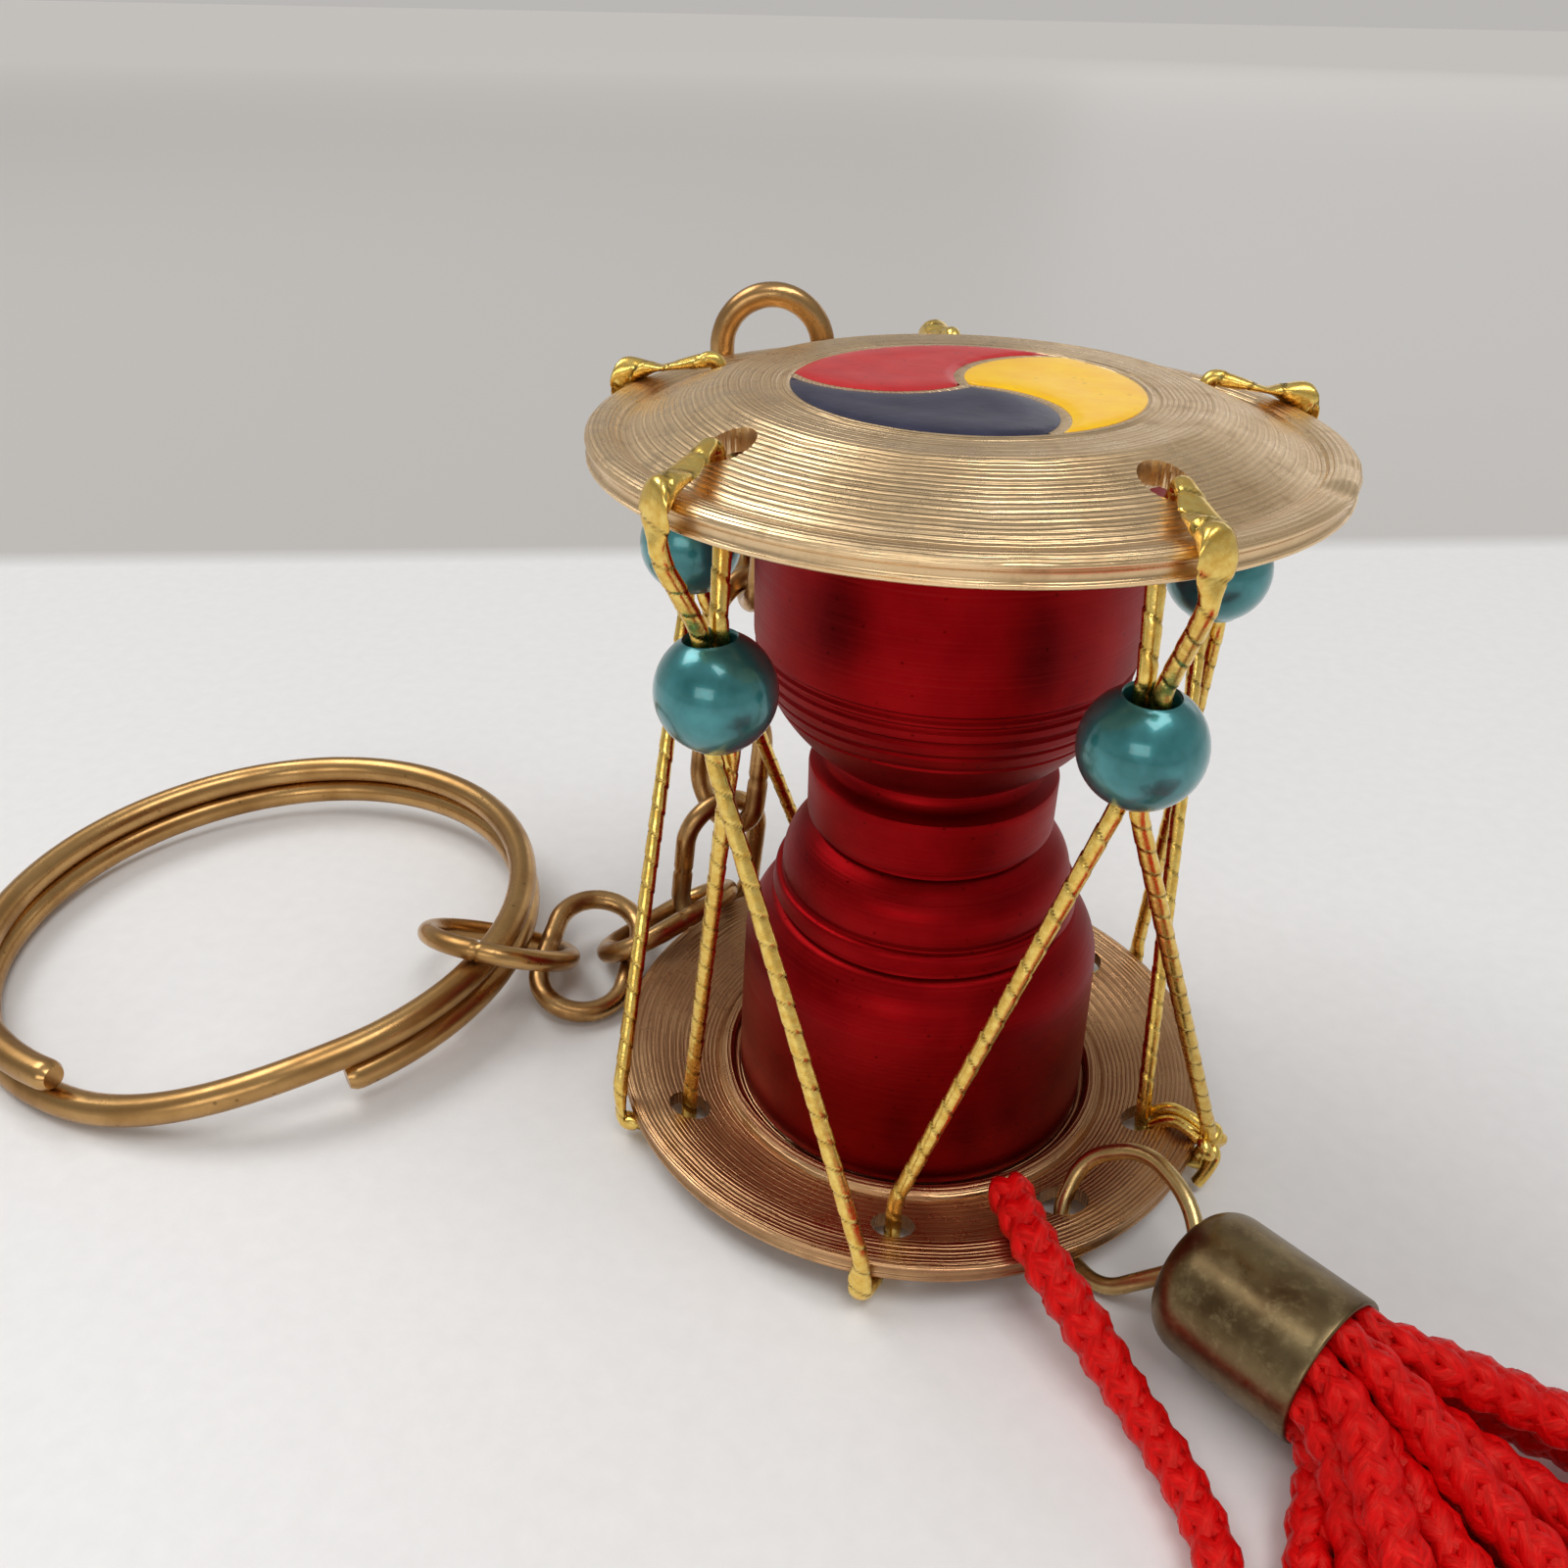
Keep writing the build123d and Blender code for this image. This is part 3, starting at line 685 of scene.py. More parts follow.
def head_profile():
    """A spun head with its boss face down at height 0: turned steps, groove, lip and rim."""
    rng = np.random.default_rng(7)
    profile = [(0.0, 0.24), (ENAMEL_R, 0.24), (ENAMEL_R, 0.02)]
    profile += [(7.05, -0.03), (7.25, -0.03), (7.34, 0.05), (7.46, 0.05)]
    for r in np.arange(7.54, 9.3, 0.11):
        profile.append((r, 0.008 * (1 + math.sin(r * 29.0)) + 0.008 * rng.random()))
    profile += [(9.38, 0.0), (9.5, 0.01), (9.62, 0.05)]
    for r in np.arange(9.72, 13.0, 0.11):
        share = (r - BOSS_R) / 3.5
        slope = 1.42 * (0.86 * share + 0.14 * share ** 2)
        step = 0.012 * math.sin(r * 28.6) + 0.018 * rng.random()
        profile.append((r, slope + step))
    lip = RIM_R - 0.02
    profile += [(13.1, 1.47), (13.3, 1.58), (13.5, 1.64), (13.68, 1.6), (13.82, 1.5), (14.05, 1.43)]
    profile += [(14.35, 1.41), (14.65, 1.43), (14.86, 1.5), (lip, 1.62), (RIM_R, 1.7), (lip, 1.78)]
    profile += [(14.88, 1.86), (14.85, 1.95), (14.85, 2.12), (14.88, 2.22), (lip, 2.3), (lip, 2.4)]
    profile += [(14.9, 2.46), (14.7, 2.47), (14.4, 2.4), (14.1, 2.36), (13.8, 2.38), (13.5, 2.34)]
    profile += [(12.9, 2.12), (12.0, 1.78), (11.0, 1.42), (10.3, 1.16), (10.12, 1.12), (10.02, 1.2)]
    profile += [(9.95, 1.33), (9.8, 1.4), (9.5, 1.4), (9.32, 1.32), (9.22, 1.18), (9.15, 0.95)]
    profile += [(9.0, FACE_T), (0.0, FACE_T)]
    return profile


def swirl_arc(bearing):
    """The centre, radius, first angle and sweep of a wall's middle line."""
    angle = math.radians(bearing)
    end = np.array((math.cos(angle), math.sin(angle))) * (ENAMEL_R + 0.6)
    side = np.array((-math.sin(angle), math.cos(angle))) * (SWIRL_BOW * ENAMEL_R)
    half = np.linalg.norm(end) / 2
    bow = np.linalg.norm(side)
    radius = (half ** 2 + bow ** 2) / (2 * bow)
    centre = end * 0.5 + side / bow * (bow - radius)
    first = math.atan2(-centre[1], -centre[0])
    last = math.atan2(end[1] - centre[1], end[0] - centre[0])
    sweep = (last - first + math.pi) % (2 * math.pi) - math.pi
    return centre, radius, first, sweep


def arc_line(bearing, shift, steps=90):
    """The wall's middle line moved sideways by a distance."""
    centre, radius, first, sweep = swirl_arc(bearing)
    angles = first + sweep * np.linspace(0.0, 1.0, steps)
    return centre + (radius + shift) * np.stack([np.cos(angles), np.sin(angles)], axis=1)


def field_outline(bearing):
    """The closed outline of one comma-shaped enamel field."""
    half_wall = WALL_T / 2
    near, far = [], []
    for line, keep in ((arc_line(bearing, half_wall), near), (arc_line(bearing + 120, -half_wall), far)):
        for point in line:
            if WALL_T < np.linalg.norm(point) < ENAMEL_R:
                keep.append(point)
    start = math.atan2(near[-1][1], near[-1][0])
    stop = math.atan2(far[-1][1], far[-1][0])
    sweep = (stop - start) % (2 * math.pi)
    turns = start + sweep * np.linspace(0, 1, 110)
    rim = [ENAMEL_R * np.array((math.cos(turn), math.sin(turn))) for turn in turns]
    return np.array(near + rim + far[::-1])


def inside(point, outline):
    """Whether a point is inside a closed outline."""
    x, y = point
    x1, y1 = outline[:, 0], outline[:, 1]
    x2, y2 = np.roll(x1, -1), np.roll(y1, -1)
    crosses = (y1 > y) != (y2 > y)
    with np.errstate(divide="ignore", invalid="ignore"):
        at = (x2 - x1) * (y - y1) / (y2 - y1) + x1
    return bool(np.count_nonzero(crosses & (x < at)) % 2)


def enamel_mesh(bearing, seed):
    """A field's fill: a slightly domed top with soft edges, on straight walls."""
    outline = field_outline(bearing)
    rng = np.random.default_rng(seed)
    inner = []
    for x in np.arange(-7.0, 7.0, FILL_SPACING):
        for y in np.arange(-7.0, 7.0, FILL_SPACING):
            spot = np.array((x, y)) + rng.uniform(-0.03, 0.03, 2)
            if inside(spot, outline) and np.linalg.norm(outline - spot, axis=1).min() > 0.11:
                inner.append(spot)
    flat = [Vector(p) for p in outline] + [Vector(p) for p in inner]
    loop = [(i, (i + 1) % len(outline)) for i in range(len(outline))]
    verts, _, faces, _, _, _ = geometry.delaunay_2d_cdt(flat, loop, [], 1, 1e-5)
    spots = np.array([tuple(v) for v in verts])
    gap = np.array([np.linalg.norm(outline - p, axis=1).min() for p in spots])
    lift = 0.085 * (1 - np.exp(-gap / 0.16)) + 0.03 * np.exp(-((gap - 1.1) / 0.9) ** 2)
    points = [(p[0], p[1], -h) for p, h in zip(spots, lift)]
    work = bmesh.new()
    corners = [work.verts.new(p) for p in points]
    for face in faces:
        work.faces.new([corners[i] for i in face])
    rim = [edge for edge in work.edges if edge.is_boundary]
    skirt = bmesh.ops.extrude_edge_only(work, edges=rim)
    for item in skirt["geom"]:
        if isinstance(item, bmesh.types.BMVert):
            item.co.z = 0.22
    mesh = bpy.data.meshes.new("enamel")
    work.to_mesh(mesh)
    work.free()
    return mesh


TO_TOP = Matrix(((1, 0, 0, 0), (0, 1, 0, 0), (0, 0, -1, HEIGHT), (0, 0, 0, 1)))
TO_BOTTOM = Matrix(((1, 0, 0, 0), (0, -1, 0, 0), (0, 0, 1, 0), (0, 0, 0, 1)))


def wall_mesh():
    """The three bowed brass walls between the fields."""
    points, faces = [], []
    for i in range(3):
        bearing = SWIRL_TURN + 120 * i
        left = arc_line(bearing, WALL_T / 2 + 0.01, 60)
        right = arc_line(bearing, -WALL_T / 2 - 0.01, 60)
        base = len(points)
        rows = 0
        for a, b in zip(left, right):
            if np.linalg.norm((a + b) / 2) > ENAMEL_R + 0.05:
                break
            middle = (a + b) / 2
            shoulders = [(*(side * 0.93 + middle * 0.07), 0.0) for side in (a, b)]
            points += [(*a, 0.24), shoulders[0], (*middle, -0.02), shoulders[1], (*b, 0.24)]
            rows += 1
        for row in range(rows - 1):
            for k in range(5):
                a, b = base + row * 5 + k, base + row * 5 + (k + 1) % 5
                faces.append((a, b, b + 5, a + 5))
        faces.append(tuple(base + k for k in range(5)))
        faces.append(tuple(base + (rows - 1) * 5 + k for k in range(5))[::-1])
    return points, faces


def dented(piece, at, reach, depth):
    """Pushes a small dent down into a piece."""
    centre = Vector(at) * MM
    for vertex in piece.data.vertices:
        gap = (vertex.co - centre).length / (reach * MM)
        if gap < 1.0:
            vertex.co.z -= depth * MM * (1 - gap * gap) ** 2
    piece.data.update()


def make_heads(brass, shaded_metal, enamels):
    """Both heads, their walls and their enamel; the bottom head gets a darker, redder copy of the brass,
    painted shade and a painted reflection of the red body.
    """
    holes = {
        "bottom": [(LOW_HOLE_R, -b, LACE_HOLE_R) for b in LOW_BEARINGS] + [LOOP_HOLE],
        "top": [(TOP_HOLE_R, b, LACE_HOLE_R) for b in TOP_BEARINGS] + [CHAIN_HOLE],
    }
    for end, place, metal in (("bottom", TO_BOTTOM, shaded_metal), ("top", TO_TOP, brass)):
        points, faces = lathe(head_profile())
        head = new_object(f"{end}_head_spun", points, faces, metal, 50.0)
        bored(head, drills(holes[end], -1.6, 4.4))
        walls, wall_faces = wall_mesh()
        wall = new_object(f"{end}_swirl_walls", walls, wall_faces, metal, 50.0)
        for piece in (head, wall):
            for vertex in piece.data.vertices:
                vertex.co = (place @ (vertex.co / MM)) * MM
                vertex.co.z = max(vertex.co.z, FOOT_GAP)
            finish_mesh(piece, metal, 50.0)
        if end == "top":
            for x, y, under, reach, depth in DENTS:
                dented(head, (x, y, HEIGHT - under), reach, depth)
        settle(head, "drum", "spun_brass", f"{end}_head")
        settle(wall, "drum", "spun_brass")
        for i, colour in enumerate(("red", "blue", "yellow")):
            mesh = enamel_mesh(SWIRL_TURN + 120 * i, 20 + i)
            fill = linked(f"{end}_fill_{colour}", mesh)
            for vertex in mesh.vertices:
                vertex.co = (place @ vertex.co) * MM
                vertex.co.z = max(vertex.co.z, FOOT_GAP)
            finish_mesh(fill, enamels[colour], 50.0)
            settle(fill, "drum", f"enamel_{colour}", f"{end}_enamel_{colour}")


# ---- body ----

def curve_between(start, end, bow, steps):
    """Points of a shallow curve between two profile points, bowed outward by a distance."""
    start, end = np.array(start), np.array(end)
    run = end - start
    out = np.array((run[1], -run[0])) / np.linalg.norm(run)
    marks = np.linspace(0.0, 1.0, steps)
    return [tuple(start + run * s + out * bow * 4 * s * (1 - s)) for s in marks]


def body_profile():
    """The turned hourglass, from its foot to the top head."""
    top = HEIGHT - FACE_T
    profile = [(0.0, FACE_T), (8.75, FACE_T), (8.87, 0.98), (8.9, 1.2)]
    profile += curve_between((8.88, 1.5), (8.62, 9.2), 0.02, 30)
    profile += curve_between((8.6, 9.35), (7.42, 11.55), 0.22, 14)
    profile += [(7.3, 11.68), (7.02, 11.76), (6.96, 11.84), (6.95, 12.05), (7.02, 12.14)]
    profile += [(7.22, 12.18), (7.3, 12.26), (7.26, 12.6), (7.2, 12.92), (7.1, 13.02)]
    profile += [(6.9, 13.06), (6.84, 13.14), (6.85, 13.34)]
    profile += curve_between((6.86, 13.42), (5.6, 15.72), 0.34, 18)
    profile += [(5.48, 15.82), (5.34, 15.88), (5.3, 15.96), (5.3, 16.14), (5.36, 16.22)]
    profile += [(5.62, 16.26), (5.72, 16.34)]
    profile += curve_between((5.75, 16.45), (5.75, 18.75), 0.0, 8)
    profile += [(5.7, 18.88), (5.55, 18.97), (5.4, 19.02)]
    profile += curve_between((5.32, 19.06), (4.72, 19.68), -0.14, 8)
    profile += [(4.7, 19.76), (4.76, 19.84), (5.1, 19.95)]
    bowl = curve_between((5.2, 20.0), (8.3, 25.6), 0.72, 56)
    for r, z in bowl:
        groove = any(abs(z - at) < 0.09 for at in GROOVES)
        profile.append((r - (0.11 if groove else 0.0), z))
    profile += curve_between((8.3, 25.7), (8.3, top - 0.3), 0.0, 36)
    profile += [(8.3, top), (0.0, top)]
    return profile


def make_body(red):
    """The turned body."""
    points, faces = lathe(body_profile())
    body = new_object("turned_body", points, faces, red, 35.0)
    settle(body, "drum", "red_anodised", "drum_body")


# ---- lacing ----

def bead_centre(k):
    """A bead's centre and the direction of the strands through it."""
    after = (k + 1) % len(BEAD_HEIGHTS)
    outer = RIM_R + CORD_R
    top = polar(TOP_HOLE_R, TOP_BEARINGS[k], HEIGHT - 2) + polar(outer, OVER_BEARINGS[k], HEIGHT - 2.5)
    low = polar(LOW_HOLE_R, LOW_BEARINGS[k], 2) + polar(outer, UNDER_BEARINGS[after], 2.5)
    top, low = top * 0.5, low * 0.5
    share = (BEAD_HEIGHTS[k] - low.z) / (top.z - low.z)
    return low + (top - low) * share, (top - low).normalized()


def low_entry(k):
    """Where the lacing comes up into a hole of the bottom head."""
    return polar(LOW_HOLE_R + 0.15, LOW_BEARINGS[k], (LOW_HOLE_R - BOSS_R) * FLANK_SLOPE - 0.62)


def under_rim(k):
    """Where the lacing passes under the rim of the bottom head."""
    return polar(RIM_R + 0.55, UNDER_BEARINGS[k] + 0.2, 1.0)


def lacing_route():
    """The corners of the lacing: hole, bead, hole, over the rim, bead, under the rim."""
    points = [polar(RIM_R + 0.5, UNDER_BEARINGS[2] + 0.3, 1.2)]
    fall = HEIGHT - (TOP_HOLE_R - BOSS_R) * FLANK_SLOPE
    for k in LACING_ORDER:
        after = (k + 1) % len(LACING_ORDER)
        centre, along = bead_centre(k)
        outward = Vector((centre.x, centre.y, 0)).normalized()
        side = (outward - along * outward.dot(along)).normalized() * BEAD_GAP
        run = along * BEAD_RUN
        points += [low_entry(k), polar(LOW_HOLE_R - 0.1, LOW_BEARINGS[k], 3.4)]
        points += [centre - side - run, centre - side + run]
        points.append(polar(TOP_HOLE_R + 0.2, TOP_BEARINGS[k], fall - 2.0))
        points.append(polar(TOP_HOLE_R + 0.65, TOP_BEARINGS[k], fall + 0.15))
        points.append(polar(RIM_R + 0.68, OVER_BEARINGS[k], HEIGHT - 1.3))
        points.append(polar(RIM_R + 0.45, OVER_BEARINGS[k] + 0.4, HEIGHT - 3.4))
        points += [centre + side + run, centre + side - run]
        points += [polar(RIM_R + 0.45, UNDER_BEARINGS[after], 3.2), under_rim(after)]
    return points


def taut(points, hold=0.9):
    """A route whose runs stay straight: each run gets a point close to each of its ends."""
    route = [points[0]]
    for before, after in zip(points, points[1:]):
        run = after - before
        inset = run.normalized() * min(hold, run.length * 0.4)
        route += [before + inset, after - inset, after]
    return route


def lacing_mesh(line, pitch=1.28):
    """A foil-wrapped cord: a helical seam, and flattened where it bends over a rim."""
    path, marks = even(line, CORD_STEP)
    _, sides, ups = frames_along(path)
    around = 18
    angles = np.linspace(0, 2 * math.pi, around, endpoint=False)
    phase = (angles[None, :] / (2 * math.pi) + marks[:, None] / pitch) % 1.0
    edge = np.minimum(phase, 1 - phase)
    groove = np.exp(-(edge / 0.035) ** 2)
    swell = 1.0 + 0.10 * (phase - 0.5) - 0.17 * groove
    offset = spokes(sides, ups, angles) * (CORD_R * swell)[:, :, None]
    radial = np.linalg.norm(path[:, :2], axis=1)
    out = path[:, :2] / radial[:, None]
    upper = path[:, 2] > HEIGHT / 2
    level = np.where(upper, HEIGHT - path[:, 2], path[:, 2])
    lean = np.radians(22.0 + 68.0 * np.clip((radial - 13.9) / 1.5, 0.0, 1.0))
    facing = np.column_stack([out * np.sin(lean)[:, None], np.cos(lean) * np.where(upper, 1.0, -1.0)])
    flatten = np.clip((radial - 11.7) / 2.7, 0.0, 1.0) * np.clip((3.0 - level) / 1.1, 0.0, 1.0)
    flatten = smooth(flatten) * np.where(upper, 1.0, 0.4)
    away = (offset * facing[:, None]).sum(2, keepdims=True) * facing[:, None]
    across = offset - away
    thin = 1.0 - 0.72 * flatten
    wide = 1.0 + 1.15 * flatten
    offset = away * thin[:, None, None] + across * wide[:, None, None]
    return path, path[:, None] + offset, groove


def cord_object(name, rings, groove, spans, foil):
    """One object of the stretches of cord between pairs of rings."""
    points, faces, seam = [], [], []
    for first, last in spans:
        add_mesh(points, faces, *skin(rings[first:last + 1]))
        seam.append(groove[first:last + 1].reshape(-1))
    cord = new_object(name, points, faces, foil, 60.0)
    mark = cord.data.attributes.new("seam", "FLOAT", "POINT")
    mark.data.foreach_set("value", np.concatenate(seam).astype(np.float32))
    return cord


def nearest(path, point, first, reach=420):
    """The index of the path's point that is closest to a place, from an index on."""
    return first + int(np.linalg.norm(path[first:first + reach] - np.array(point), axis=1).argmin())


def make_lacing(foil, pearl_paint):
    """The lacing cord, its knot and the beads; the stretches of cord by each bead are objects of their own.
    """
    path, rings, groove = lacing_mesh(route_points("lacing_route", taut(lacing_route())))
    under, turn_back = [], 0
    for k in LACING_ORDER:
        centre, along = bead_centre(k)
        after = (k + 1) % len(LACING_ORDER)
        hole = nearest(path, low_entry(k), turn_back)
        going_up = nearest(path, centre, hole)
        going_down = nearest(path, centre, going_up + 90)
        under.append((turn_back, hole))
        is_last = k == LACING_ORDER[-1]
        turn_back = len(path) - 1 if is_last else nearest(path, under_rim(after), going_down)
        upper = cord_object(f"lacing_upper_{k + 1}", rings, groove, [(going_up, going_down)], foil)
        halves = [(hole, going_up), (going_down, turn_back)]
        lower = cord_object(f"lacing_lower_{k + 1}", rings, groove, halves, foil)
        reach = (HEIGHT - 2.2 - centre.z) / along.z
        drop = (centre.z - 3.2) / along.z
        for piece, far in ((upper, centre + along * reach), (lower, centre - along * drop)):
            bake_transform(piece)
    cord = cord_object("gold_lacing", rings, groove, under, foil)
    settle(cord, "drum", "gold_lacing", "lacing_cord")
    make_knot(foil)
    for k in range(5):
        centre, along = bead_centre(k)
        half = math.sqrt(BEAD_R ** 2 - BEAD_BORE_R ** 2)
        start = math.asin(BEAD_BORE_R / BEAD_R)
        lip = [(BEAD_BORE_R + wide, half - down) for wide, down in ((0.0, 0.22), (0.02, 0.08), (0.1, 0.01))]
        profile = [(r, -z) for r, z in lip]
        for s in np.linspace(start + 0.08, math.pi - start - 0.08, 44):
            profile.append((BEAD_R * math.sin(s), -BEAD_R * math.cos(s)))
        profile += lip[::-1]
        profile.append(profile[0])
        shape, shape_faces = lathe(profile, 72)
        turn = along.to_track_quat("Z", "Y").to_matrix()
        placed = [turn @ Vector(p) + centre for p in shape]
        bead = new_object(f"pearl_bead_{k + 1}", placed, shape_faces, pearl_paint, 60.0)
        settle(bead, f"bead_{k + 1}", "pearl_bead", f"tuning_bead_{k + 1}")


def make_knot(foil):
    """The knot outside the bottom rim, two bands that cross the rim to it, and its two short tails."""
    bearing = UNDER_BEARINGS[2]
    centre = polar(RIM_R + 0.55, bearing + 0.6, 2.25)
    out, side, up = polar(1.0, bearing, 0.0), polar(1.0, bearing + 90, 0.0), Vector((0.0, 0.0, 1.0))
    turns = []
    for i in range(72):
        t = 2 * math.pi * i / 72
        across = math.sin(t) + 2 * math.sin(2 * t)
        rise = math.cos(t) - 2 * math.cos(2 * t)
        turns.append(centre + side * (across * 0.30) + up * (rise * 0.22) - out * (math.sin(3 * t) * 0.22))
    points, faces = [], []
    add_mesh(points, faces, *round_tube(np.array(turns), KNOT_R, 14, closed=True))
    bands = (
        ((12.5, -16.5, 1.7), (13.1, -17.2, 3.0), (14.5, -18.4, 3.0), (15.3, -19.4, 2.75)),
        ((12.9, -19.8, 1.9), (13.5, -20.2, 2.9), (14.6, -21.2, 2.9), (15.4, -21.8, 2.5)),
    )
    tails = (
        ((0.5, -0.3, 0.0), (0.35, -0.7, -0.9), (0.0, -1.0, -1.7)),
        ((0.4, 0.7, 0.0), (0.5, 1.1, -0.5), (0.0, 1.2, -1.2)),
    )
    runs = [[polar(*point) for point in band] + [centre] for band in bands]
    runs += [[centre] + [centre + out * a + side * b + up * c for a, b, c in tail] for tail in tails]
    for run in runs:
        path, _ = even(route_points("knot_run", run), 0.12)
        add_mesh(points, faces, *round_tube(path, KNOT_R, 14))
    knot = new_object("lacing_tie", points, faces, foil, 60.0)
    settle(knot, "drum", "gold_lacing", "lacing_knot")


# ---- chain and rings ----

def ring_frame(node):
    """The centre, long direction and width direction of a flat ring node."""
    spots = np.array([v.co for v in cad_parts[node].data.vertices], float) / MM
    centre = (spots.max(0) + spots.min(0)) / 2
    _, _, axes = np.linalg.svd(spots - spots.mean(0), full_matrices=False)
    return centre, axes[0], axes[1]


def oval_path(steps=44):
    """Points round the middle line of an oval link, long along the second axis."""
    end_r = LINK_WIDTH / 2
    half = (LINK_LENGTH - LINK_WIDTH) / 2
    arc = np.linspace(0.0, math.pi, steps)
    upper = np.stack([end_r * np.cos(arc), half + end_r * np.sin(arc)], axis=1)
    left = np.stack([np.full(12, -end_r), np.linspace(half, -half, 14)[1:-1]], axis=1)
    lower = np.stack([-end_r * np.cos(arc), -half - end_r * np.sin(arc)], axis=1)
    right = -left
    return np.concatenate([upper, left, lower, right])


def make_links(paint):
    """The oval links, each with its closed butt joint on one side."""
    rng = np.random.default_rng(3)
    for i in range(7):
        node = f"chain_link_{i + 1}"
        centre, long, wide = ring_frame(node)
        flat = oval_path()
        path = centre + flat[:, :1] * wide + flat[:, 1:] * long
        radii = LINK_WIRE_R * (1.0 + 0.012 * rng.standard_normal(len(path)))
        radii = (radii + np.roll(radii, 1) + np.roll(radii, -1)) / 3
        radii[-6] *= 0.86
        points, faces = round_tube(path, radii, 28, closed=True)
        link = new_object(f"oval_link_{i + 1}", points, faces, paint, 60.0)
        settle(link, f"link_{i + 1}", "bronze_chain", node)


def make_rings(paint):
    """The round jump ring with its butt joint, and the split ring."""
    centre, first, second = ring_frame("jump_ring")
    angles = np.linspace(0, 2 * math.pi, 160, endpoint=False)
    path = centre + JUMP_R * (np.cos(angles)[:, None] * first + np.sin(angles)[:, None] * second)
    radii = np.full(160, LINK_WIRE_R)
    radii[38] *= 0.82
    points, faces = round_tube(path, radii, 28, closed=True)
    jump = new_object("round_jump_ring", points, faces, paint, 60.0)
    settle(jump, "jump_ring_body", "bronze_ring", "jump_ring")
    across = Vector(SPLIT_ACROSS).normalized()
    normal = across.cross(Vector(SPLIT_ALONG)).normalized()
    along = normal.cross(across)
    step_start, step_end = SPLIT_OPEN
    turned = np.radians(np.linspace(step_end - 360, step_start + 360, 620))
    share = np.clip((np.degrees(turned) - step_start) / (step_end - step_start), 0.0, 1.0)
    level = SPLIT_STEP * (2 * smooth(share) - 1)
    flat = np.cos(turned)[:, None] * np.array(across) + np.sin(turned)[:, None] * np.array(along)
    path = np.array(SPLIT_CENTRE) + SPLIT_R * flat + level[:, None] * np.array(normal)
    radii = np.full(len(path), SPLIT_WIRE_R)
    radii[0] = radii[-1] = SPLIT_WIRE_R * 0.72
    radii[1] = radii[-2] = SPLIT_WIRE_R * 0.94
    points, faces = round_tube(path, radii, 32)
    split = new_object("split_key_ring", points, faces, paint, 50.0)
    settle(split, "split_ring_body", "bronze_ring", "split_ring")


# ---- tassel ----

CAP_TILT = math.radians(CAP_RISE)
CAP_AXIS = polar(math.cos(CAP_TILT), CAP_BEARING, math.sin(CAP_TILT)).normalized()
CAP_SIDE = polar(1.0, CAP_BEARING + 90, 0.0)
CAP_UP = CAP_AXIS.cross(CAP_SIDE)
MOUTH = Vector(CAP_TIP) + CAP_AXIS * CAP_LENGTH


def make_cap(paint):
    """The drawn cap, with the eye in its closed end."""
    profile = [(0.0, 0.0)]
    for s in np.linspace(0.0, math.pi / 2, 16):
        profile.append((CAP_R - CAP_ROUND + CAP_ROUND * math.sin(s), CAP_ROUND * (1 - math.cos(s))))
    profile += curve_between((CAP_R, CAP_ROUND + 0.3), (CAP_R, CAP_LENGTH - 0.12), 0.0, 16)
    inner = CAP_R - CAP_WALL
    profile += [(CAP_R - 0.04, CAP_LENGTH - 0.03), (CAP_R - 0.14, CAP_LENGTH)]
    profile.append((inner + 0.03, CAP_LENGTH - 0.05))
    profile += curve_between((inner, CAP_LENGTH - 0.2), (inner, CAP_ROUND + 0.3), 0.0, 10)
    round_in = CAP_ROUND - CAP_WALL
    for s in np.linspace(math.pi / 2, 0.0, 12):
        profile.append((inner - round_in + round_in * math.sin(s), CAP_WALL + round_in * (1 - math.cos(s))))
    profile.append((0.0, CAP_WALL))
    points, faces = lathe(profile, 160)
    cap = new_object("tassel_cap_drawn", points, faces, paint, 50.0)
    eye_bearing = math.degrees(math.atan2(CAP_EYE_AT[1], CAP_EYE_AT[0]))
    bored(cap, drills([(math.hypot(*CAP_EYE_AT), eye_bearing, CAP_EYE_R)], -0.35, 0.75, 0.1, 0.4))
    turn = Matrix((CAP_SIDE, CAP_UP, CAP_AXIS)).transposed()
    for vertex in cap.data.vertices:
        vertex.co = (turn @ (vertex.co / MM) + Vector(CAP_TIP)) * MM
    finish_mesh(cap, paint, 50.0)
    settle(cap, "tassel", "antique_cap", "tassel_cap")


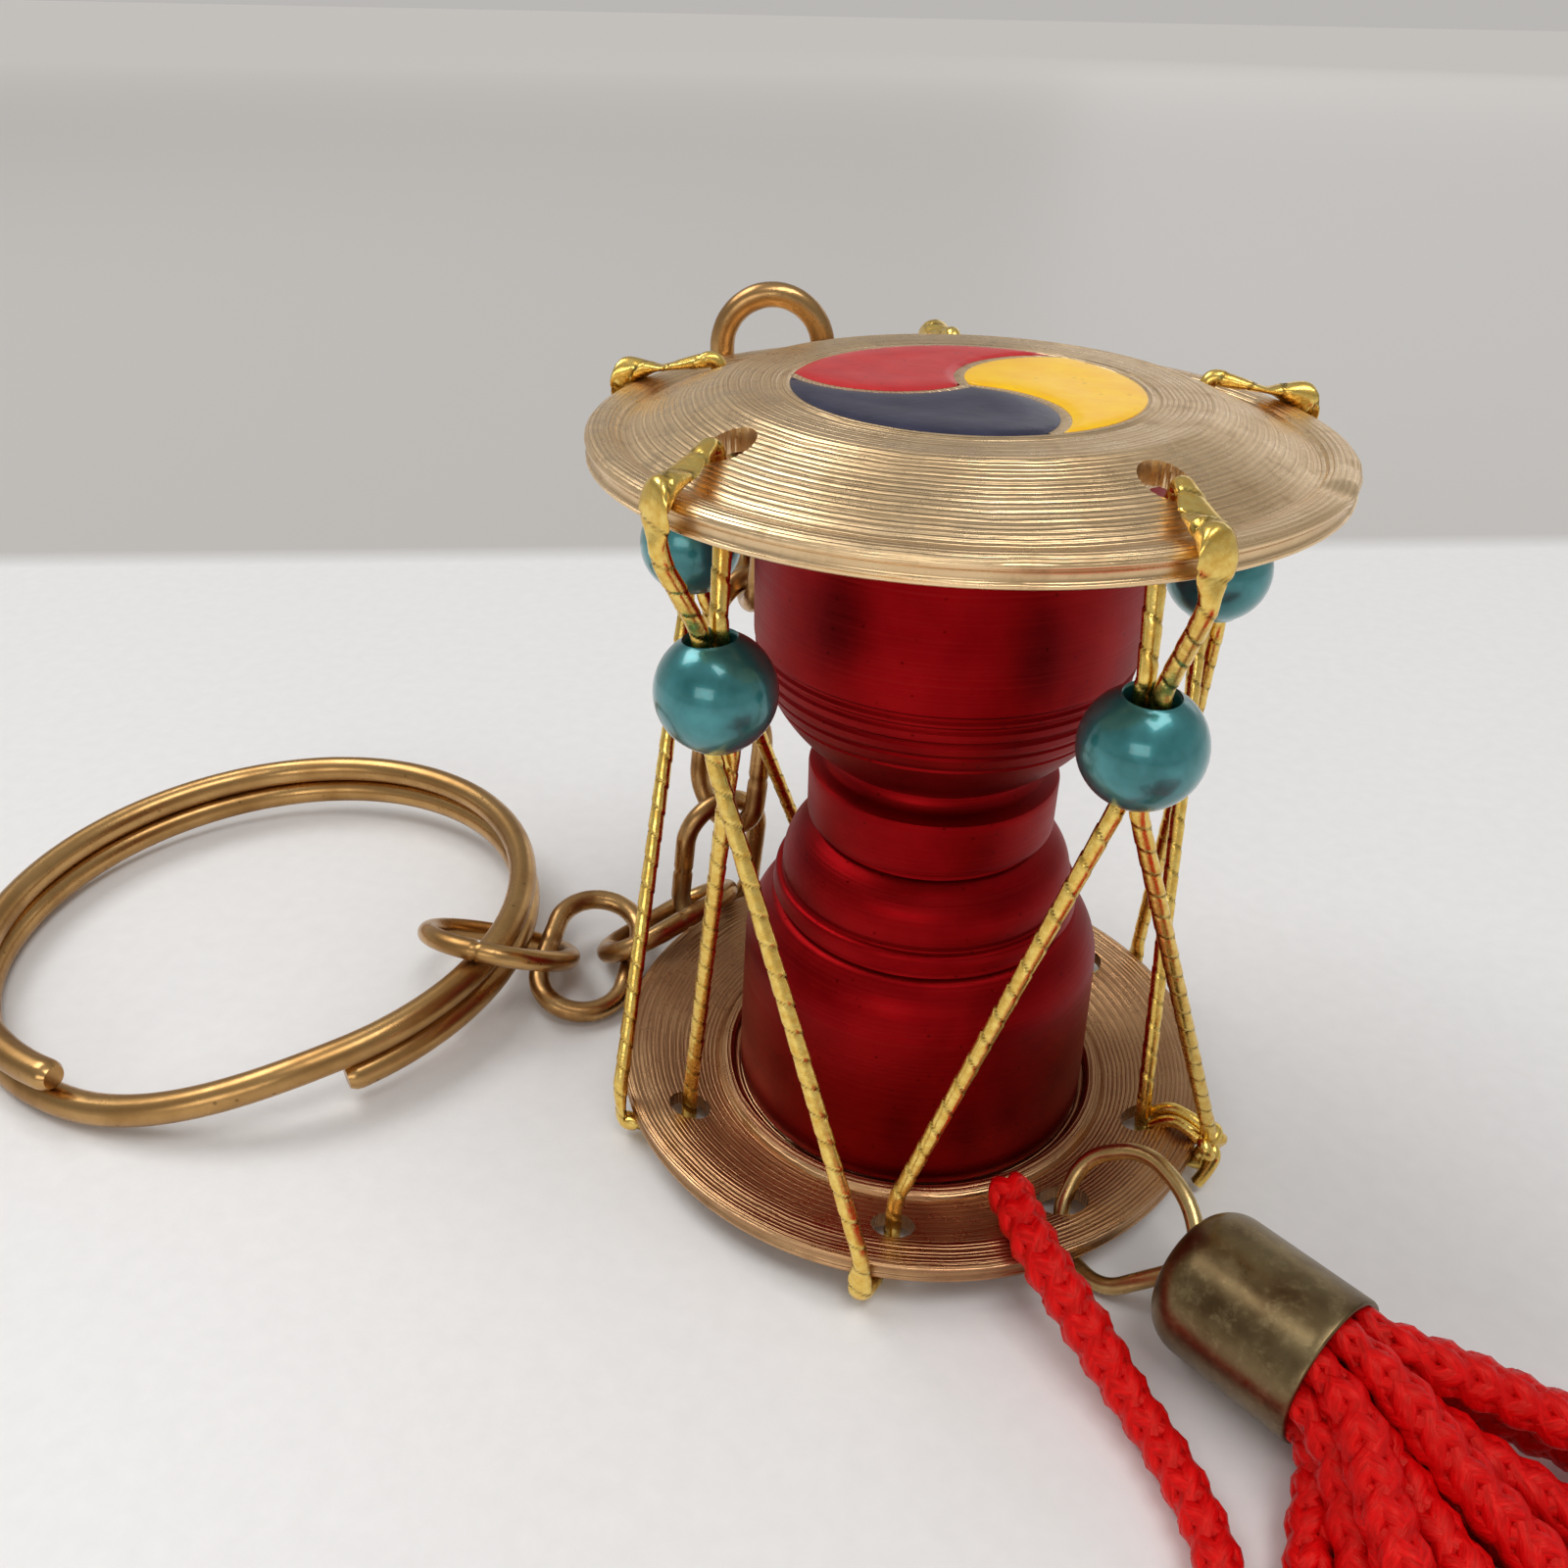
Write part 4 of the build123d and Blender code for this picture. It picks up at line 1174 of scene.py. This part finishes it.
def braid(path, marks, radii, seed):
    """A round braid of eight yarns on a core, passing over and under each other, with a UV map."""
    _, sides, ups = frames_along(path)
    rng = np.random.default_rng(seed)
    shift = rng.uniform(0, 2 * math.pi)
    pitch = YARN_PITCH * rng.uniform(0.95, 1.05)
    points, faces, uvs = [], [], []
    around = 8
    ring = np.linspace(0, 2 * math.pi, around, endpoint=False)
    for yarn in range(YARNS):
        way = 1 if yarn < YARNS // 2 else -1
        start = shift + (yarn % 4) * math.pi / 2 + (math.pi / 4 if way < 0 else 0.0)
        turn = start + way * 2 * math.pi * marks / pitch
        over = np.cos(4 * (turn - shift) + (0.0 if way > 0 else math.pi))
        mid = radii * (0.61 + 0.075 * over)
        line = path + sides * (mid * np.cos(turn))[:, None] + ups * (mid * np.sin(turn))[:, None]
        out = sides * np.cos(turn)[:, None] + ups * np.sin(turn)[:, None]
        ahead = np.gradient(line, axis=0)
        ahead /= np.linalg.norm(ahead, axis=1)[:, None]
        across = np.cross(ahead, out)
        across /= np.linalg.norm(across, axis=1)[:, None]
        thick = radii * (0.31 + 0.02 * over)
        wide = radii * 0.43
        rings = line[:, None] + out[:, None] * (thick[:, None] * np.sin(ring)[None])[:, :, None]
        rings = rings + across[:, None] * (wide[:, None] * np.cos(ring)[None])[:, :, None]
        add_mesh(points, faces, *skin(rings))
        uvs.extend((j / around, marks[i]) for i in range(len(path)) for j in range(around))
    add_mesh(points, faces, *round_tube(path[1:-1], radii[1:-1] * 0.6, around))
    uvs.extend((j / around, marks[i]) for i in range(1, len(path) - 1) for j in range(around))
    return points, faces, uvs


def make_strand(name, node, route, paint, seed):
    """One braided cord along the NURBS spline of its route."""
    line = route_points(node, route)
    path, marks = even(line, 0.3)
    squeeze = np.clip(marks / 4.5, 0.0, 1.0)
    radii = STRAND_R * (MOUTH_SQUEEZE + (1 - MOUTH_SQUEEZE) * smooth(squeeze))
    radii = radii * (1 + 0.16 * squeeze * np.clip((path[:, 2] - 1.2) / 1.0, 0.0, 1.0))
    points, faces, uvs = braid(path, marks, radii, seed)
    piece = new_object(name, points, faces, paint, 80.0)
    layer = piece.data.uv_layers.new(name="weave")
    flat = np.array([uvs[loop.vertex_index] for loop in piece.data.loops], np.float32)
    layer.data.foreach_set("uv", flat.reshape(-1))
    near = np.array([int(round(along / marks[-1] * (len(path) - 1))) for _, along in uvs])
    # Each point's distance from the path over the radius; the yarn material paints shade where it is small.
    lift = np.linalg.norm(np.array(points) - path[near], axis=1) / radii[near]
    mark = piece.data.attributes.new("lift", "FLOAT", "POINT")
    mark.data.foreach_set("value", lift.astype(np.float32))
    settle(piece, "tassel", "red_cord", node)


def mouth_slot(distance, angle):
    """Where a strand sits in the mouth: two points, inside and just outside."""
    turn = math.radians(angle)
    offset = CAP_SIDE * (distance * math.cos(turn)) + CAP_UP * (distance * math.sin(turn))
    return [MOUTH + offset - CAP_AXIS * BUNDLE_END, MOUTH + offset + CAP_AXIS * MOUTH_RUN]


def make_strands(paint):
    """The eleven strands and the loose one."""
    root = MOUTH - CAP_AXIS * FAN_ROOT
    for i, (distance, angle, reaches) in enumerate(STRANDS):
        route = mouth_slot(distance, angle)
        for reach, bearing, z in reaches:
            step = polar(reach, bearing, 0.0)
            route.append(Vector((root.x + step.x, root.y + step.y, z)))
        name = f"strand_{i + 1:02d}"
        make_strand(f"braided_{name}", f"tassel_{name}", route, paint, 40 + i)
    loose = mouth_slot(*LOOSE_SLOT) + [Vector(p) for p in LOOSE_ROUTE]
    make_strand("braided_loose_strand", "loose_strand", loose, paint, 60)


# ---- the scene ----

def make_floor():
    """A large pale floor under the drum."""
    bpy.ops.mesh.primitive_plane_add(size=FLOOR_SIZE, location=(0.0, 0.0, 0.0))
    floor = bpy.context.object
    floor.name = "floor"
    floor.data.materials.append(pale_floor())


def dress(node, paint):
    """A CAD node keeps its shape and gets a better material."""
    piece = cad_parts[node]
    piece.data.materials.clear()
    piece.data.materials.append(paint)


make_camera()
make_strands(red_yarn())
make_light()
make_floor()
brass_paint = spun_brass("spun_brass", (0.96, 0.71, 0.42), (0.80, 0.55, 0.29))
# The bottom head's brass: a darker, redder copy of the top head's, painted shade and a painted reflection
# of the red body.
shaded_brass_paint = spun_brass("brass_with_painted_shade", (0.60, 0.36, 0.18), (0.40, 0.20, 0.10))
enamel_paints = {
    "red": enamel("enamel_red", (0.58, 0.022, 0.024), (0.42, 0.008, 0.012)),
    "blue": enamel("enamel_blue", (0.030, 0.030, 0.064), (0.012, 0.012, 0.032)),
    "yellow": enamel("enamel_yellow", (1.0, 0.60, 0.004), (0.92, 0.44, 0.002)),
}
make_heads(brass_paint, shaded_brass_paint, enamel_paints)
make_body(red_anodised())
make_lacing(gold_foil(), pearl())
make_links(bronze("bronze_chain", (0.53, 0.315, 0.125), (0.32, 0.165, 0.06), 500.0))
make_rings(bronze("bronze_ring", (0.55, 0.325, 0.125), (0.35, 0.185, 0.06), 220.0))
dress("tassel_loop", bronze("brass_wire", (0.60, 0.43, 0.19), (0.42, 0.27, 0.10), 600.0))
make_cap(antique_cap())
dress("tassel_bundle", bundle_fabric())
